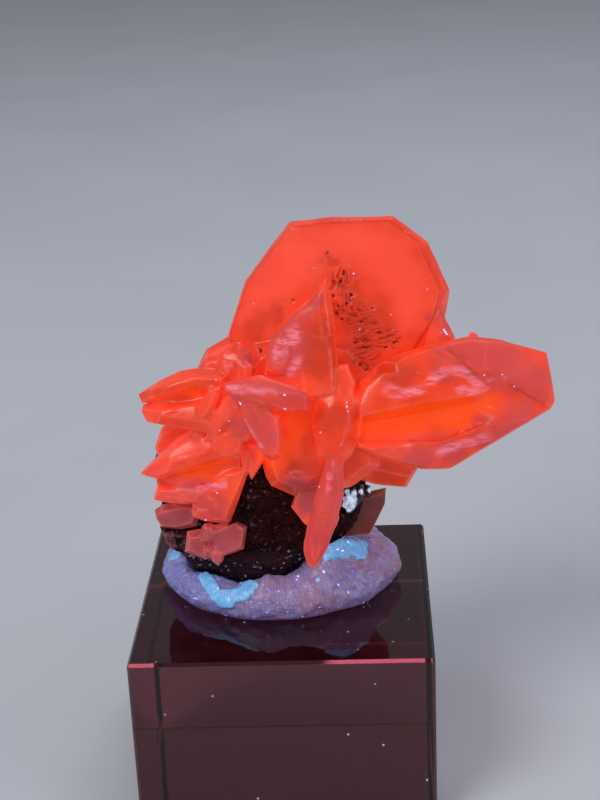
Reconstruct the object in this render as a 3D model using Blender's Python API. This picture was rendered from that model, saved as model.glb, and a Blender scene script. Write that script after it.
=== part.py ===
"""Calcite specimen on a display block.

A cluster of thick, disc-like calcite crystals grows on a dark, granular rock. The rock is pressed into a
bun of mineral putty, and the putty sits on a clear block. The origin is the centre of the block's
underside, +Z is up, and the specimen's show face looks along -Y.

Each crystal is the solid inside a set of flat faces, as in nature: two rim faces along every side
of its outline, and a low roof of growth faces at its front and back.
"""

import math
from collections import namedtuple

import bmesh
import bpy
from mathutils import Vector, noise

MM = 0.001  # the lists below are in millimetres, and the scene is in metres
GAP = 0.3  # clearance between neighbouring pieces

BLOCK_WIDTH = 32.0
BLOCK_HEIGHT = 20.0
BLOCK_CHAMFER = 0.3

ROCK_CENTRE = (-2.6, 2.8, 30.6)
ROCK_HALF_SIZE = (11.2, 8.0, 9.2)
ROCK_OVERHANG = 0.35  # how much wider the right side is at the top than in the middle
ROCK_ROUGHNESS = 1.5
ROCK_LUMP = 4.2

TACK_CENTRE = (-0.4, 3.0)
TACK_HEIGHT = 4.3
# Outer radius of the putty bun every 30 degrees, anticlockwise from +X
TACK_RADII = (13.5, 12.7, 11.9, 11.0, 11.9, 13.4, 13.9, 12.8, 11.7, 11.1, 11.2, 12.5)
# The bun's cross-section as shares of the radius and height, from the rim of its foot up and inward
TACK_PROFILE = [
    (0.93, 0.0), (0.975, 0.14), (1.0, 0.34), (0.985, 0.56), (0.93, 0.77), (0.84, 0.92), (0.75, 1.0),
    (0.6, 0.99), (0.4, 0.9),
]
# Where the putty was pushed up against the rock, or pressed down: direction, spread, height at the rock
TACK_PUSHES = [(323.0, 34.0, 4.6), (236.0, 30.0, -1.6)]

SMALL = 1.0e-6


def polygon(radius, sides, turn=0.0, squash=1.0):
    """A regular outline in a crystal's own plane, flattened along its second axis by squash."""
    angles = [math.radians(turn + 360.0 * i / sides) for i in range(sides)]
    return [(radius * math.cos(a), radius * math.sin(a) * squash) for a in angles]


def roof(height, slope=6.0, azimuths=(75.0, 250.0)):
    """Growth faces that close a crystal's front or back: azimuths, slope and height over its middle."""
    return [(azimuth, slope, height) for azimuth in azimuths]


THREE_WAYS = (90.0, 210.0, 330.0)
UPRIGHT_RIDGE = (0.0, 180.0)
LEVEL_RIDGE = (90.0, 270.0)
TIP_LEFT_OR_RIGHT = (5.0, 175.0)


def on_edge(height):
    """The round rim of a disc that is seen on edge: gentle in the middle, steep towards its ends."""
    return roof(height, 9, TIP_LEFT_OR_RIGHT) + roof(height + 1.3, 34, TIP_LEFT_OR_RIGHT)


# facing is the way the crystal's front looks, outline its widest section, front and back the roof faces
# there, and rim the steepness of the faces along the outline in degrees.
Crystal = namedtuple("Crystal", "centre facing outline front back rim", defaults=(62.0,))

# The large fan-shaped disc at the top, with the growth layer on its face and the spur at its right
FAN_FACING = (-0.05, -0.96, 0.26)
FAN_FACES = (62.0, 168.0, 290.0)
FAN = [
    Crystal((7.6, 3.2, 52.8), FAN_FACING,
            [(-12.8, -3.7), (-10.7, 2.3), (-5.8, 8.5), (-1.7, 8.9), (5.2, 8.9), (8.9, 6.1), (11.2, 0.9),
             (10.6, -2.0), (5.7, -9.1), (-0.7, -10.7), (-8.3, -9.6), (-12.0, -6.5)],
            roof(2.4, 8, FAN_FACES), roof(4.2, 15, (30.0, 105.0, 180.0, 270.0)), 74),
    Crystal((7.6, 3.2, 52.8), FAN_FACING,
            [(-12.6, -3.6), (-10.5, 2.3), (-5.7, 8.3), (-1.6, 8.7), (5.0, 8.6), (8.2, 6.2), (10.7, 0.9),
             (10.0, -2.0), (5.4, -8.6), (-0.7, -10.3), (-8.0, -9.2), (-11.8, -6.3)],
            roof(2.8, 8, FAN_FACES), roof(3.0, 11, THREE_WAYS), 72),
    Crystal((17.3, 0.4, 49.9), (0.3, -0.9, 0.3),
            [(0.1, 3.0), (0.8, 2.0), (1.9, -0.7), (1.9, -1.6), (0.0, -2.6), (-2.2, -2.2)],
            roof(1.5, 14), roof(2.4), 58),
]
# Etch pits in the fan's face: place in its plane, length, direction in degrees
FAN_PITS = [
    (-0.4, 3.2, 1.9, 70), (-1.1, 1.8, 1.4, 62), (0.1, 1.3, 1.0, -50), (0.9, 0.7, 0.9, -20),
    (1.8, -1.0, 1.0, -25), (1.3, -3.4, 1.3, 0), (1.9, -4.1, 2.2, -6), (5.1, -3.6, 1.2, -5),
    (4.2, -4.3, 0.9, 5), (3.1, -0.7, 0.8, 30), (0.9, -0.9, 0.8, -70), (-5.7, 0.9, 0.7, 15),
    (0.6, 3.9, 0.9, 85), (-3.0, 3.6, 0.6, 0), (2.8, -5.9, 1.4, -20),
]

# The barrel that sticks out to the right, with layers behind it and a stub on top
BARREL_CENTRE = (17.5, -3.0, 43.0)
BARREL_FACING = (0.06, -0.96, 0.27)
BARREL = [
    Crystal(BARREL_CENTRE, BARREL_FACING,
            [(-9.6, 1.2), (-8.6, 2.9), (-6.6, 4.6), (-4.0, 5.7), (-0.8, 6.5), (3.2, 7.1), (6.3, 6.6),
             (11.2, 5.0), (12.0, -0.1), (11.5, -1.1), (0.6, -6.9), (-2.4, -6.8), (-6.2, -5.7),
             (-9.6, -4.1)],
            [(95, 26, 4.0), (112, 12, 3.4), (54, 27.7, 5.4), (41.6, 4.4, 3.2), (282, 26, 5.0)],
            roof(4.6, 18, TIP_LEFT_OR_RIGHT) + roof(5.0, 30, LEVEL_RIDGE), 76),
    Crystal((17.0, 1.4, 42.2), (0.06, -0.96, 0.27),
            [(-7.0, -2.0), (-6.4, 2.6), (-2.0, 4.6), (4.0, 4.4), (7.6, 2.2), (8.4, -1.2), (4.0, -3.6),
             (-3.0, -4.2)],
            roof(1.0), roof(3.6, 14, (60, 180, 300)), 78),
    Crystal((14.4, 2.6, 40.2), (0.05, -0.98, 0.2),
            [(-5.4, -1.0), (-5.0, 2.6), (1.0, 4.0), (6.0, 2.4), (6.6, 0.0), (2.0, -2.8), (-2.6, -2.8)],
            roof(1.0), roof(4.4, 16, (20, 160, 270)), 76),
    Crystal((20.6, 3.0, 48.8), (0.0, -0.96, 0.3),
            [(0.0, -2.5), (0.0, -0.2), (0.3, 0.2), (0.8, 0.1), (1.2, -0.3), (1.1, -2.5)], roof(0.6),
             roof(0.6), 70),
]
# The barrel's glowing waist is a long hollow: each face by its place (right, up, height over the barrel's
# middle) and the way it leans (right, up, front) out of the hollow
WAIST_FACES = [
    ((-4.0, -1.5, 1.7), (0.0, 0.03, -1.0)),
    ((0.5, -0.3, 1.7), (0.10, -0.19, -1.0)),
    ((2.4, 0.0, 1.7), (0.42, 0.0, -1.0)),
    ((-1.6, 0.55, 3.1), (-0.10, 0.80, -0.6)),
    ((-5.0, -3.5, 2.4), (0.0, -0.97, -0.24)),
    ((2.3, -2.7, 3.0), (0.315, -0.918, -0.24)),
    ((-8.5, -0.6, 2.8), (-0.92, 0.32, -0.24)),
    ((0.0, 0.0, 9.0), (0.0, 0.0, 1.0)),
]

# Upper left: the cap and keel of a disc seen on edge, with a notch between them, and crystals above it
LEFT_UPPER = [
    Crystal((-10.0, -2.4, 45.0), (-0.15, -0.95, 0.25),
            [(-4.7, -0.4), (-2.4, 1.2), (0.0, 2.3), (1.6, 2.6), (5.5, 2.3), (5.6, 0.5), (-4.2, -1.4)],
            roof(2.9, 17, (100.0, 300.0)) + roof(4.0, 40, (175.0,)), on_edge(5.0), 76),
    Crystal((-9.0, -1.6, 43.6), (-0.15, -0.97, 0.2),
            [(-4.9, 0.0), (-0.7, 2.0), (4.6, 2.6), (4.6, -0.6), (-0.7, -1.0), (-4.9, -1.1)],
            roof(2.4, 5, (95,)) + roof(3.6, 32, (176,)), on_edge(4.4), 80),
    Crystal((-10.0, -2.4, 42.6), (-0.15, -0.97, 0.2),
            [(-4.3, 0.8), (-4.5, 0.1), (-3.8, -1.2), (-2.5, -1.4), (5.0, -2.4), (6.0, 1.2), (2.5, 2.1),
             (-0.4, 1.7)],
            roof(2.9, 15, (80.0, 265.0)) + roof(3.9, 36, (175.0,)), on_edge(4.8), 76),
    Crystal((-6.6, -0.4, 47.0), (-0.3, -0.93, 0.25),
            [(-2.6, -1.4), (-0.8, 1.1), (0.4, 1.4), (2.4, 1.2), (2.6, -1.8), (-1.0, -2.4)],
            roof(1.2), roof(1.6), 60),
    Crystal((-3.9, -2.6, 48.2), (-0.2, -0.94, 0.26),
            [(-2.3, 0.6), (-1.6, 1.6), (-0.7, 2.3), (0.6, 2.3), (1.7, 1.5), (2.4, -0.3), (2.0, -2.4),
             (-2.3, -2.4)],
            roof(1.5, 17), roof(2.2), 52),
    Crystal((-3.1, -4.0, 47.4), (-0.55, -0.8, 0.2),
            [(-1.1, -1.7), (-1.2, 1.2), (-0.3, 1.8), (1.0, 1.2), (1.1, -1.7)],
            roof(0.8, 14, UPRIGHT_RIDGE), roof(1.4), 60),
]

# Lower left: the long-pointed wedge over its keel, the blade behind and the plate at the foot
LEFT_LOWER = [
    Crystal((-9.0, -3.0, 37.6), (-0.15, -0.95, 0.25),
            [(-6.2, -2.0), (-4.0, 0.2), (-1.8, 2.3), (-0.4, 3.2), (2.3, 3.3), (5.9, 1.6), (5.7, 0.2),
             (2.3, -1.0), (-4.1, -2.5), (-5.1, -2.3)],
            roof(3.1, 16, (95.0, 285.0)) + roof(4.1, 36, (178.0,)), on_edge(5.0), 74),
    Crystal((-9.0, -2.0, 35.2), (-0.15, -0.97, 0.2),
            [(-4.5, 0.6), (5.8, 3.2), (5.8, 0.6), (-0.7, -1.4), (-4.4, -1.3)],
            roof(2.5, 6, (85,)) + roof(3.6, 32, (176,)), on_edge(4.0), 80),
    Crystal((-9.0, -3.0, 33.6), (-0.15, -0.97, 0.2),
            [(-4.2, 1.0), (-4.8, -0.5), (-4.6, -1.1), (-2.7, -1.4), (-0.5, -1.4), (3.9, -0.2), (4.4, 1.8)],
            roof(2.3, 12, (85.0, 262.0)) + roof(4.0, 32, (176.0,)) + roof(3.2, 28, (5.0,)), on_edge(4.4),
            76),
    Crystal((-10.3, 0.6, 39.3), (-0.3, -0.93, 0.2),
            [(-2.7, 0.2), (-3.6, -2.2), (-3.0, -3.3), (1.5, -3.2), (4.0, 1.0), (0.5, 2.4)],
            roof(1.6), roof(2.4), 60),
    Crystal((-5.1, -6.3, 40.8), (-0.1, -0.95, 0.28),
            [(-2.1, -0.2), (-1.2, 1.0), (0.7, 1.5), (2.1, 0.7), (1.8, -1.4), (-0.1, -2.1), (-1.7, -1.3)],
            roof(0.6, 5), roof(2.6), 50),
    Crystal((-6.3, -4.7, 33.0), (-0.2, -0.97, 0.1),
            [(-3.1, 1.1), (0.4, 3.7), (3.5, 4.5), (1.6, -0.8), (1.1, -2.0), (-1.7, -2.1), (-3.3, -1.0)],
            roof(1.2, 7, (60.0, 230.0)), roof(2.4), 66),
    Crystal((-6.5, -5.2, 31.1), (-0.1, -0.97, 0.2),
            [(-3.2, 1.0), (-2.4, 1.9), (1.1, 2.0), (1.8, 1.2), (1.0, -0.2), (-1.6, -0.3), (-2.9, 0.3)],
            roof(0.8), roof(1.6), 56),
]

# The curved, leaf-like blades and the small crystals over the middle of the show face
BLADES = [
    Crystal((-7.2, -4.8, 43.4), (-0.62, -0.78, 0.12),
            [(0.6, 3.2), (2.1, 3.4), (1.2, 0.7), (-0.6, -3.2), (-2.3, -3.2), (-1.6, 0.3)],
            roof(0.9, 15, UPRIGHT_RIDGE), roof(2.4), 58),
    Crystal((-5.2, -6.1, 43.6), (-0.52, -0.84, 0.12),
            [(1.0, 3.4), (2.6, 3.0), (1.2, -0.5), (-1.0, -3.2), (-2.5, -3.0), (-1.3, 0.3)],
            roof(0.9, 15, UPRIGHT_RIDGE), roof(2.6), 58),
    Crystal((-3.3, -6.3, 43.4), (-0.2, -0.96, 0.2),
            [(-1.4, 3.0), (1.8, 3.2), (2.2, -0.8), (0.6, -2.6), (-1.8, -2.2)], roof(0.9, 14),
             roof(2.8), 55),
    Crystal((3.0, -2.6, 50.6), (-0.06, -0.95, 0.3),
            [(0.2, 3.8), (2.0, 4.8), (2.9, 4.0), (3.8, -1.7), (3.8, -6.0), (-0.2, -6.6), (-4.0, -5.0),
             (-3.8, -1.1), (-3.0, 0.7), (-1.5, 2.4)],
            roof(2.1, 15, (8.0, 184.0)), roof(3.2), 74),
    Crystal((3.9, -2.8, 52.6), (-0.06, -0.95, 0.3),
            [(1.9, 5.0), (2.3, 3.2), (2.8, -1.5), (2.1, -3.0), (-0.8, -1.4), (-0.4, 1.4), (0.6, 3.2)],
            roof(1.3, 15, (8.0, 184.0)), roof(2.4), 66),
    Crystal((-0.5, -7.4, 46.6), (-0.02, -0.9, 0.42),
            [(-4.9, 1.3), (-0.8, 2.0), (3.3, 0.8), (4.6, -0.3), (4.4, -2.2), (2.2, -2.3), (-3.1, -0.9),
             (-4.8, 0.2)],
            roof(1.0, 15, LEVEL_RIDGE), roof(3.4), 60),
    Crystal((-1.1, -8.0, 42.7), (0.1, -0.95, 0.28),
            [(-2.5, 3.4), (-1.4, 3.7), (0.4, 3.0), (1.9, 1.4), (2.2, -1.2), (1.9, -2.9), (0.8, -3.5),
             (-0.3, -2.9), (-1.8, 0.5)],
            roof(1.0, 13, (20.0, 200.0)), roof(3.0), 58),
    Crystal((-2.2, -4.9, 37.5), (0.0, -0.97, 0.22),
            [(-1.0, 2.4), (0.9, 2.2), (0.9, 0.5), (0.2, -0.7), (-0.6, -1.8), (-1.1, -0.6)],
            roof(0.7), roof(1.7), 60),
    Crystal((-3.2, -5.2, 37.5), (-0.2, -0.97, 0.22),
            [(-1.0, 1.9), (0.6, 2.0), (0.1, -1.2), (-0.5, -0.7)], roof(0.6), roof(1.6), 60),
    Crystal((0.6, -4.5, 49.8), (-0.45, -0.85, 0.3),
            [(-1.4, -2.4), (-1.2, 1.4), (0.2, 2.6), (1.3, 1.2), (1.2, -2.4)],
            roof(0.7, 10, UPRIGHT_RIDGE), roof(1.8), 56),
    Crystal((6.9, -4.2, 46.6), (0.12, -0.93, 0.34),
            [(-2.4, -1.9), (-2.2, 1.5), (1.0, 1.6), (2.0, -0.4), (1.4, -2.0)], roof(0.8, 8), roof(2.2), 60),
]

# The disc in the middle, the rounder crystal on it, and what hangs from their lower edge
MIDDLE = [
    Crystal((4.3, -3.2, 39.9), (0.03, -0.97, 0.22),
            [(-6.1, -2.6), (-5.7, -4.3), (-5.2, -5.3), (-2.8, -6.5), (0.0, -6.4), (3.5, -5.7),
             (6.6, -3.5), (6.5, 1.4), (4.9, 4.4), (1.6, 6.2), (-2.7, 6.2), (-5.4, 4.0), (-6.3, 0.2)],
            roof(2.6, 8, (80.0, 200.0, 300.0)), roof(4.4), 58),
    Crystal((6.3, -5.9, 42.1), (0.08, -0.95, 0.28),
            [(-1.8, 3.4), (0.6, 4.7), (2.4, 3.4), (2.8, 0.4), (1.8, -3.2), (0.0, -4.6), (-2.2, -3.2),
             (-2.9, 0.1)],
            roof(1.4, 10, (10.0, 185.0)), roof(2.4), 42),
    Crystal((2.6, -6.3, 37.0), (0.0, -0.97, 0.22),
            [(-1.9, -0.5), (-1.2, 0.2), (1.9, 0.1), (2.1, -0.8), (0.4, -1.6), (-1.3, -1.0)],
            roof(0.7, 14, LEVEL_RIDGE), roof(2.0), 54),
    Crystal((2.6, -5.0, 33.5), (-0.25, -0.96, 0.1),
            [(-1.5, -1.1), (-0.7, 1.1), (2.1, 4.0), (2.2, -0.2), (0.7, -3.4), (0.0, -2.9)],
            roof(0.9, 8, (20.0, 200.0)), roof(1.7), 62),
    Crystal((4.8, -7.9, 32.9), (0.12, -0.985, 0.08),
            [(1.3, 6.8), (2.4, 5.4), (2.4, 2.6), (1.7, -0.7), (0.5, -3.5), (-0.6, -5.4), (-1.3, -6.1),
             (-2.0, -5.6), (-2.4, -4.1), (-2.3, -2.4), (-1.5, 0.7), (-0.7, 3.3), (0.4, 5.8)],
            roof(1.4, 15, (350.0, 170.0)), roof(2.0), 56),
    Crystal((12.1, -0.2, 34.8), (0.08, -0.98, -0.05),
            [(-3.7, -1.4), (-1.8, -2.1), (1.7, -2.7), (3.1, -0.2), (1.4, 3.0), (-2.3, 3.4), (-4.0, 1.0)],
            roof(1.5, 9), roof(2.2), 60),
    Crystal((9.0, -1.0, 36.8), (0.15, -0.97, 0.1),
            [(-3.0, -1.0), (0.6, -1.8), (3.6, 0.8), (2.0, 3.4), (-2.6, 3.4)], roof(1.6), roof(2.0), 60),
]

# The cluster's back: broad discs and a few smaller ones between them
REAR = [
    Crystal((7.6, 3.6, 52.4), (0.05, 0.96, -0.22),
            [(-9.6, 1.0), (-6.8, 5.4), (-3.4, 7.4), (2.6, 7.2), (6.4, 4.4), (8.0, -3.0), (4.0, -9.0),
             (-6.0, -9.0)],
            roof(4.6, 7, (95.0, 215.0, 330.0)), roof(2.0), 66),
    Crystal((-3.4, 6.2, 43.8), (-0.38, 0.86, 0.32),
            [(-6.4, 0.8), (-4.6, 4.2), (0.6, 5.6), (5.0, 3.2), (6.6, -1.6), (3.2, -5.4), (-3.4, -5.0)],
            roof(2.6, 9), roof(3.4), 70),
    Crystal((9.4, 7.0, 42.6), (0.3, 0.93, 0.1),
            [(-5.8, -1.6), (-4.6, 3.6), (-0.4, 6.0), (4.6, 4.2), (6.4, -0.4), (3.8, -5.0), (-2.2, -5.6)],
            roof(2.4, 8, (60.0, 190.0, 300.0)), roof(4.0), 70),
    Crystal((2.6, 9.2, 38.2), (0.1, 0.8, -0.55),
            [(-6.0, 0.6), (-3.0, 2.6), (3.2, 2.8), (6.2, 0.2), (3.0, -1.8), (-3.2, -1.6)],
            roof(2.4, 16, LEVEL_RIDGE), roof(4.0), 68),
    Crystal((2.4, 9.0, 42.0), (-0.08, 0.9, 0.42),
            [(-4.8, -0.6), (-3.2, 1.9), (1.8, 2.2), (4.8, 0.4), (2.4, -2.2), (-2.8, -2.2)],
            roof(2.0, 15, LEVEL_RIDGE), roof(3.0), 64),
    Crystal((-8.4, 5.0, 37.8), (-0.75, 0.6, 0.25),
            [(-4.6, -0.4), (-2.8, 2.8), (1.6, 3.2), (4.6, 0.6), (2.4, -2.8), (-2.6, -3.0)],
            roof(1.9, 13), roof(3.4), 66),
    Crystal((15.6, 6.8, 45.6), (0.55, 0.75, 0.36),
            [(-3.4, -1.8), (-2.0, 2.6), (1.4, 3.2), (3.6, 0.4), (1.6, -3.0)], roof(1.7, 12), roof(3.4), 66),
    Crystal((1.2, 8.8, 47.4), (-0.3, 0.85, 0.4),
            [(-2.6, -2.6), (-2.2, 1.6), (0.4, 3.6), (2.4, 1.2), (2.0, -2.6)], roof(1.4, 14), roof(3.0), 62),
    Crystal((6.2, 10.0, 35.6), (0.35, 0.9, -0.2),
            [(-2.0, 2.4), (1.6, 2.6), (1.8, -0.6), (0.2, -3.4), (-1.4, -1.2)], roof(1.0, 14),
             roof(2.6), 62),
]

# Solid body behind the show face that the separate crystals share
HEART = [
    Crystal((3.0, 1.6, 43.0), (0.05, -0.98, 0.15), polygon(9.6, 10, 18, 0.84), roof(4.0, 8), roof(5.6), 60),
    Crystal((-4.6, 0.8, 41.0), (-0.2, -0.94, 0.1), polygon(6.2, 8, 10, 1.02), roof(4.0, 8), roof(4.6), 60),
    Crystal((11.0, 0.8, 42.2), (0.2, -0.95, 0.1), polygon(5.5, 7, 10), roof(3.6, 8), roof(5.0), 60),
]

# Crystals that stand on the rock by themselves, clear of the cluster
SIDE_CRYSTAL = [
    Crystal((-10.6, -2.6, 30.2), (-0.3, -0.94, 0.12),
            [(-3.6, 0.7), (-2.6, 1.5), (0.6, 2.4), (2.8, 2.5), (1.8, -0.6), (-0.4, -1.3), (-2.7, -1.3),
             (-3.4, -0.3)],
            roof(1.1, 5, (70.0, 240.0)), roof(2.5), 58),
]
FOOT_CRYSTALS = [
    Crystal((-8.4, -5.2, 28.0), (-0.14, -0.97, 0.2),
            [(-1.9, 1.8), (-0.1, 2.2), (1.0, 2.1), (1.1, -0.9), (0.3, -1.5), (-2.2, -0.6)],
            roof(1.1, 6, (170.0, 300.0)), roof(1.5), 57),
    Crystal((-5.6, -5.1, 28.6), (0.16, -0.97, 0.2),
            [(-2.3, 1.8), (0.3, 2.6), (0.9, 2.6), (2.2, 1.5), (1.6, -1.0), (-0.6, -1.6), (-2.1, -1.0)],
            roof(0.9, 5, (30.0, 250.0)), roof(1.5), 57),
    Crystal((-7.4, -5.8, 28.7), (0.05, -0.97, 0.22),
            [(-1.2, 2.7), (0.6, 2.7), (0.7, 0.3), (-0.4, -0.4), (-1.3, 0.5)],
            roof(1.0, 9, UPRIGHT_RIDGE), roof(1.6), 62),
    Crystal((-6.8, -5.9, 27.0), (0.0, -0.98, 0.21),
            [(-1.3, 1.2), (0.9, 1.0), (0.6, -0.3), (0.0, -1.0), (-0.8, -0.4)], roof(0.7), roof(1.1), 62),
]
REAR_CRYSTAL = [
    Crystal((8.2, 1.6, 28.8), (0.35, -0.92, 0.1),
            [(-3.8, -2.6), (-3.4, 1.7), (3.7, 2.1), (3.4, 0.3), (1.2, -3.1)],
            roof(1.2, 8, (60.0, 240.0)), roof(1.7), 68),
]

# Bright little blades of a second mineral, on a crust in the hollow beside the tooth
DRUSE_BLADE = [(-0.25, -0.7), (-0.4, 0.1), (-0.1, 0.9), (0.15, 0.9), (0.35, 0.2), (0.25, -0.7)]
DRUSE = [
    Crystal((8.0, -1.9, 32.0), (0.45, -0.85, 0.25),
            [(-1.2, -1.5), (-1.5, 0.6), (-0.4, 1.3), (2.2, 1.3), (2.5, 0.4), (0.6, -0.8), (-0.3, -1.7)],
            roof(0.3), roof(1.6), 60),
    Crystal((7.4, -2.7, 31.6), (0.3, -0.9, 0.2), polygon(0.85, 6, 10, 0.9), roof(0.4), roof(1.0), 57),
    Crystal((7.2, -2.5, 32.8), (0.1, -0.9, 0.4), DRUSE_BLADE, roof(0.3), roof(1.2), 60),
    Crystal((8.0, -2.4, 32.6), (0.3, -0.85, 0.4), DRUSE_BLADE, roof(0.3), roof(1.2), 60),
    Crystal((8.7, -2.0, 32.5), (0.4, -0.85, 0.3), DRUSE_BLADE, roof(0.3), roof(1.2), 60),
    Crystal((9.5, -1.4, 32.4), (0.5, -0.8, 0.3), DRUSE_BLADE, roof(0.3), roof(1.2), 60),
]


def crystal_axes(facing):
    """The crystal's right, up and front directions; a crystal that looks up takes +Y as its up."""
    front = Vector(facing).normalized()
    hint = Vector((0, 1, 0)) if abs(front.z) > 0.8 else Vector((0, 0, 1))
    up = (hint - hint.project(front)).normalized()
    return up.cross(front), up, front


def crystal_faces(crystal):
    """Every face of a crystal as a point on it and its outward normal, in millimetres."""
    right, up, front = crystal_axes(crystal.facing)
    centre = Vector(crystal.centre)

    def in_plane(x, y):
        return right * x + up * y

    middle = Vector((0, 0, 0))
    for x, y in crystal.outline:
        middle += in_plane(x, y) / len(crystal.outline)
    steep = math.radians(crystal.rim)
    following = crystal.outline[1:] + crystal.outline[:1]
    for start, end in zip(crystal.outline, following):
        corner = in_plane(*start)
        outward = (in_plane(*end) - corner).cross(front).normalized()
        if outward.dot(corner - middle) < 0:
            outward.negate()
        for side in (front, -front):
            yield centre + corner, outward * math.sin(steep) + side * math.cos(steep)
    for side, faces in ((front, crystal.front), (-front, crystal.back)):
        for azimuth, slope, height in faces:
            turn = math.radians(azimuth)
            lean = math.radians(slope)
            outward = in_plane(math.cos(turn), math.sin(turn))
            yield centre + middle + side * height, outward * math.sin(lean) + side * math.cos(lean)


def clipped(polygon_points, point, normal):
    """The part of a flat polygon that lies behind a plane."""
    kept = []
    for start, end in zip(polygon_points, polygon_points[1:] + polygon_points[:1]):
        start_height = (start - point).dot(normal)
        end_height = (end - point).dot(normal)
        if start_height <= SMALL:
            kept.append(start)
        if (start_height > SMALL) != (end_height > SMALL):
            kept.append(start.lerp(end, start_height / (start_height - end_height)))
    return kept


def cut_solid(name, faces, swell=0.0):
    """A mesh of the convex solid inside all the faces, each moved out by swell."""
    planes = [(point + normal * swell, normal) for point, normal in faces]
    bm = bmesh.new()
    for point, normal in planes:
        side = normal.orthogonal() * 60
        other = normal.cross(side)
        corners = [point + side, point + other, point - side, point - other]
        for other_point, other_normal in planes:
            if other_normal is not normal and corners:
                corners = clipped(corners, other_point, other_normal)
        for corner in corners:
            bm.verts.new(corner)
    bmesh.ops.remove_doubles(bm, verts=bm.verts[:], dist=0.02)
    bmesh.ops.convex_hull(bm, input=bm.verts[:])
    loose = [v for v in bm.verts if not v.link_faces]
    bmesh.ops.delete(bm, geom=loose, context="VERTS")
    bmesh.ops.dissolve_limit(bm, angle_limit=math.radians(0.5), verts=bm.verts[:], edges=bm.edges[:])
    bmesh.ops.scale(bm, vec=(MM, MM, MM), verts=bm.verts[:])
    bmesh.ops.recalc_face_normals(bm, faces=bm.faces[:])
    mesh = bpy.data.meshes.new(name)
    bm.to_mesh(mesh)
    bm.free()
    return mesh


def crystal_mesh(name, crystal, swell=0.0):
    return cut_solid(name, list(crystal_faces(crystal)), swell)


def add_object(name, mesh, collection=None):
    obj = bpy.data.objects.new(name, mesh)
    (collection or bpy.context.scene.collection).objects.link(obj)
    return obj


def make_guide(obj):
    """Marks an object as a shape that only cuts or joins others."""
    obj.hide_render = True
    obj.display_type = "WIRE"


def guide_group(name, meshes):
    """A collection of guide objects, one for each mesh, for a Boolean modifier to use together."""
    group = bpy.data.collections.new(name)
    bpy.context.scene.collection.children.link(group)
    for i, mesh in enumerate(meshes):
        make_guide(add_object(f"{name}_{i + 1}", mesh, group))
    return group


def add_boolean(obj, operation, group):
    modifier = obj.modifiers.new(operation.lower(), "BOOLEAN")
    modifier.operation = operation
    modifier.solver = "EXACT"
    modifier.operand_type = "COLLECTION"
    modifier.collection = group
    return modifier


def material(name, colour, roughness, transmission=0.0):
    made = bpy.data.materials.new(name)
    made.use_nodes = True
    shader = made.node_tree.nodes["Principled BSDF"]
    shader.inputs["Base Color"].default_value = (*colour, 1.0)
    shader.inputs["Roughness"].default_value = roughness
    shader.inputs["Metallic"].default_value = 0.0
    shader.inputs["Transmission Weight"].default_value = transmission
    return made


def joined_crystals(name, crystals, finish):
    """One solid of crystals that have grown into each other."""
    meshes = [crystal_mesh(name, c) for c in crystals]
    obj = add_object(name, meshes[0])
    if len(meshes) > 1:
        add_boolean(obj, "UNION", guide_group(name + "_parts", meshes[1:]))
    obj.data.materials.append(finish)
    return obj


def swollen_room(name, crystals):
    """The space that a group of crystals needs around it, for cutting a neighbour."""
    return guide_group(name, [crystal_mesh(name, c, GAP) for c in crystals])


def waist_hollow(name):
    """The room of the barrel's glowing waist, for cutting it out."""
    right, up, front = crystal_axes(BARREL_FACING)
    centre = Vector(BARREL_CENTRE)
    faces = []
    for place, lean in WAIST_FACES:
        point = centre + right * place[0] + up * place[1] + front * place[2]
        outward = right * lean[0] + up * lean[1] + front * lean[2]
        faces.append((point, outward.normalized()))
    return guide_group(name, [cut_solid(name, faces)])


def etch_pits(name):
    """Narrow wedges that sink into the fan's face, for cutting its pits."""
    right, up, front = crystal_axes(FAN_FACING)
    centre = Vector(FAN[1].centre)
    pits = []
    for x, y, length, direction in FAN_PITS:
        turn = math.radians(direction)
        along = right * math.cos(turn) + up * math.sin(turn)
        across = front.cross(along)
        mouth = centre + right * x + up * y + front * 2.8
        depth = 0.5 + 0.2 * length
        width = 0.16 + 0.1 * length
        faces = [
            (mouth + front * 3, front),
            (mouth + across * width, across * 0.94 - front * 0.34),
            (mouth - across * width, -across * 0.94 - front * 0.34),
            (mouth + along * length / 2, along * 0.8 - front * 0.6),
            (mouth - along * length / 2, -along * 0.97 - front * 0.24),
            (mouth - front * depth, -front),
        ]
        pits.append(cut_solid(name, faces))
    return guide_group(name, pits)


def display_block(finish):
    mesh = bpy.data.meshes.new("acrylic_block")
    bm = bmesh.new()
    bmesh.ops.create_cube(bm, size=1.0)
    bmesh.ops.scale(bm, vec=(BLOCK_WIDTH * MM, BLOCK_WIDTH * MM, BLOCK_HEIGHT * MM), verts=bm.verts[:])
    bmesh.ops.translate(bm, vec=(0, 0, BLOCK_HEIGHT * MM / 2), verts=bm.verts[:])
    bmesh.ops.bevel(
        bm, geom=bm.edges[:], offset=BLOCK_CHAMFER * MM, offset_type="OFFSET", segments=1, profile=0.5,
        affect="EDGES", material=-1,
    )
    bm.to_mesh(mesh)
    bm.free()
    mesh.materials.append(finish)
    return add_object("acrylic_block", mesh)


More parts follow.
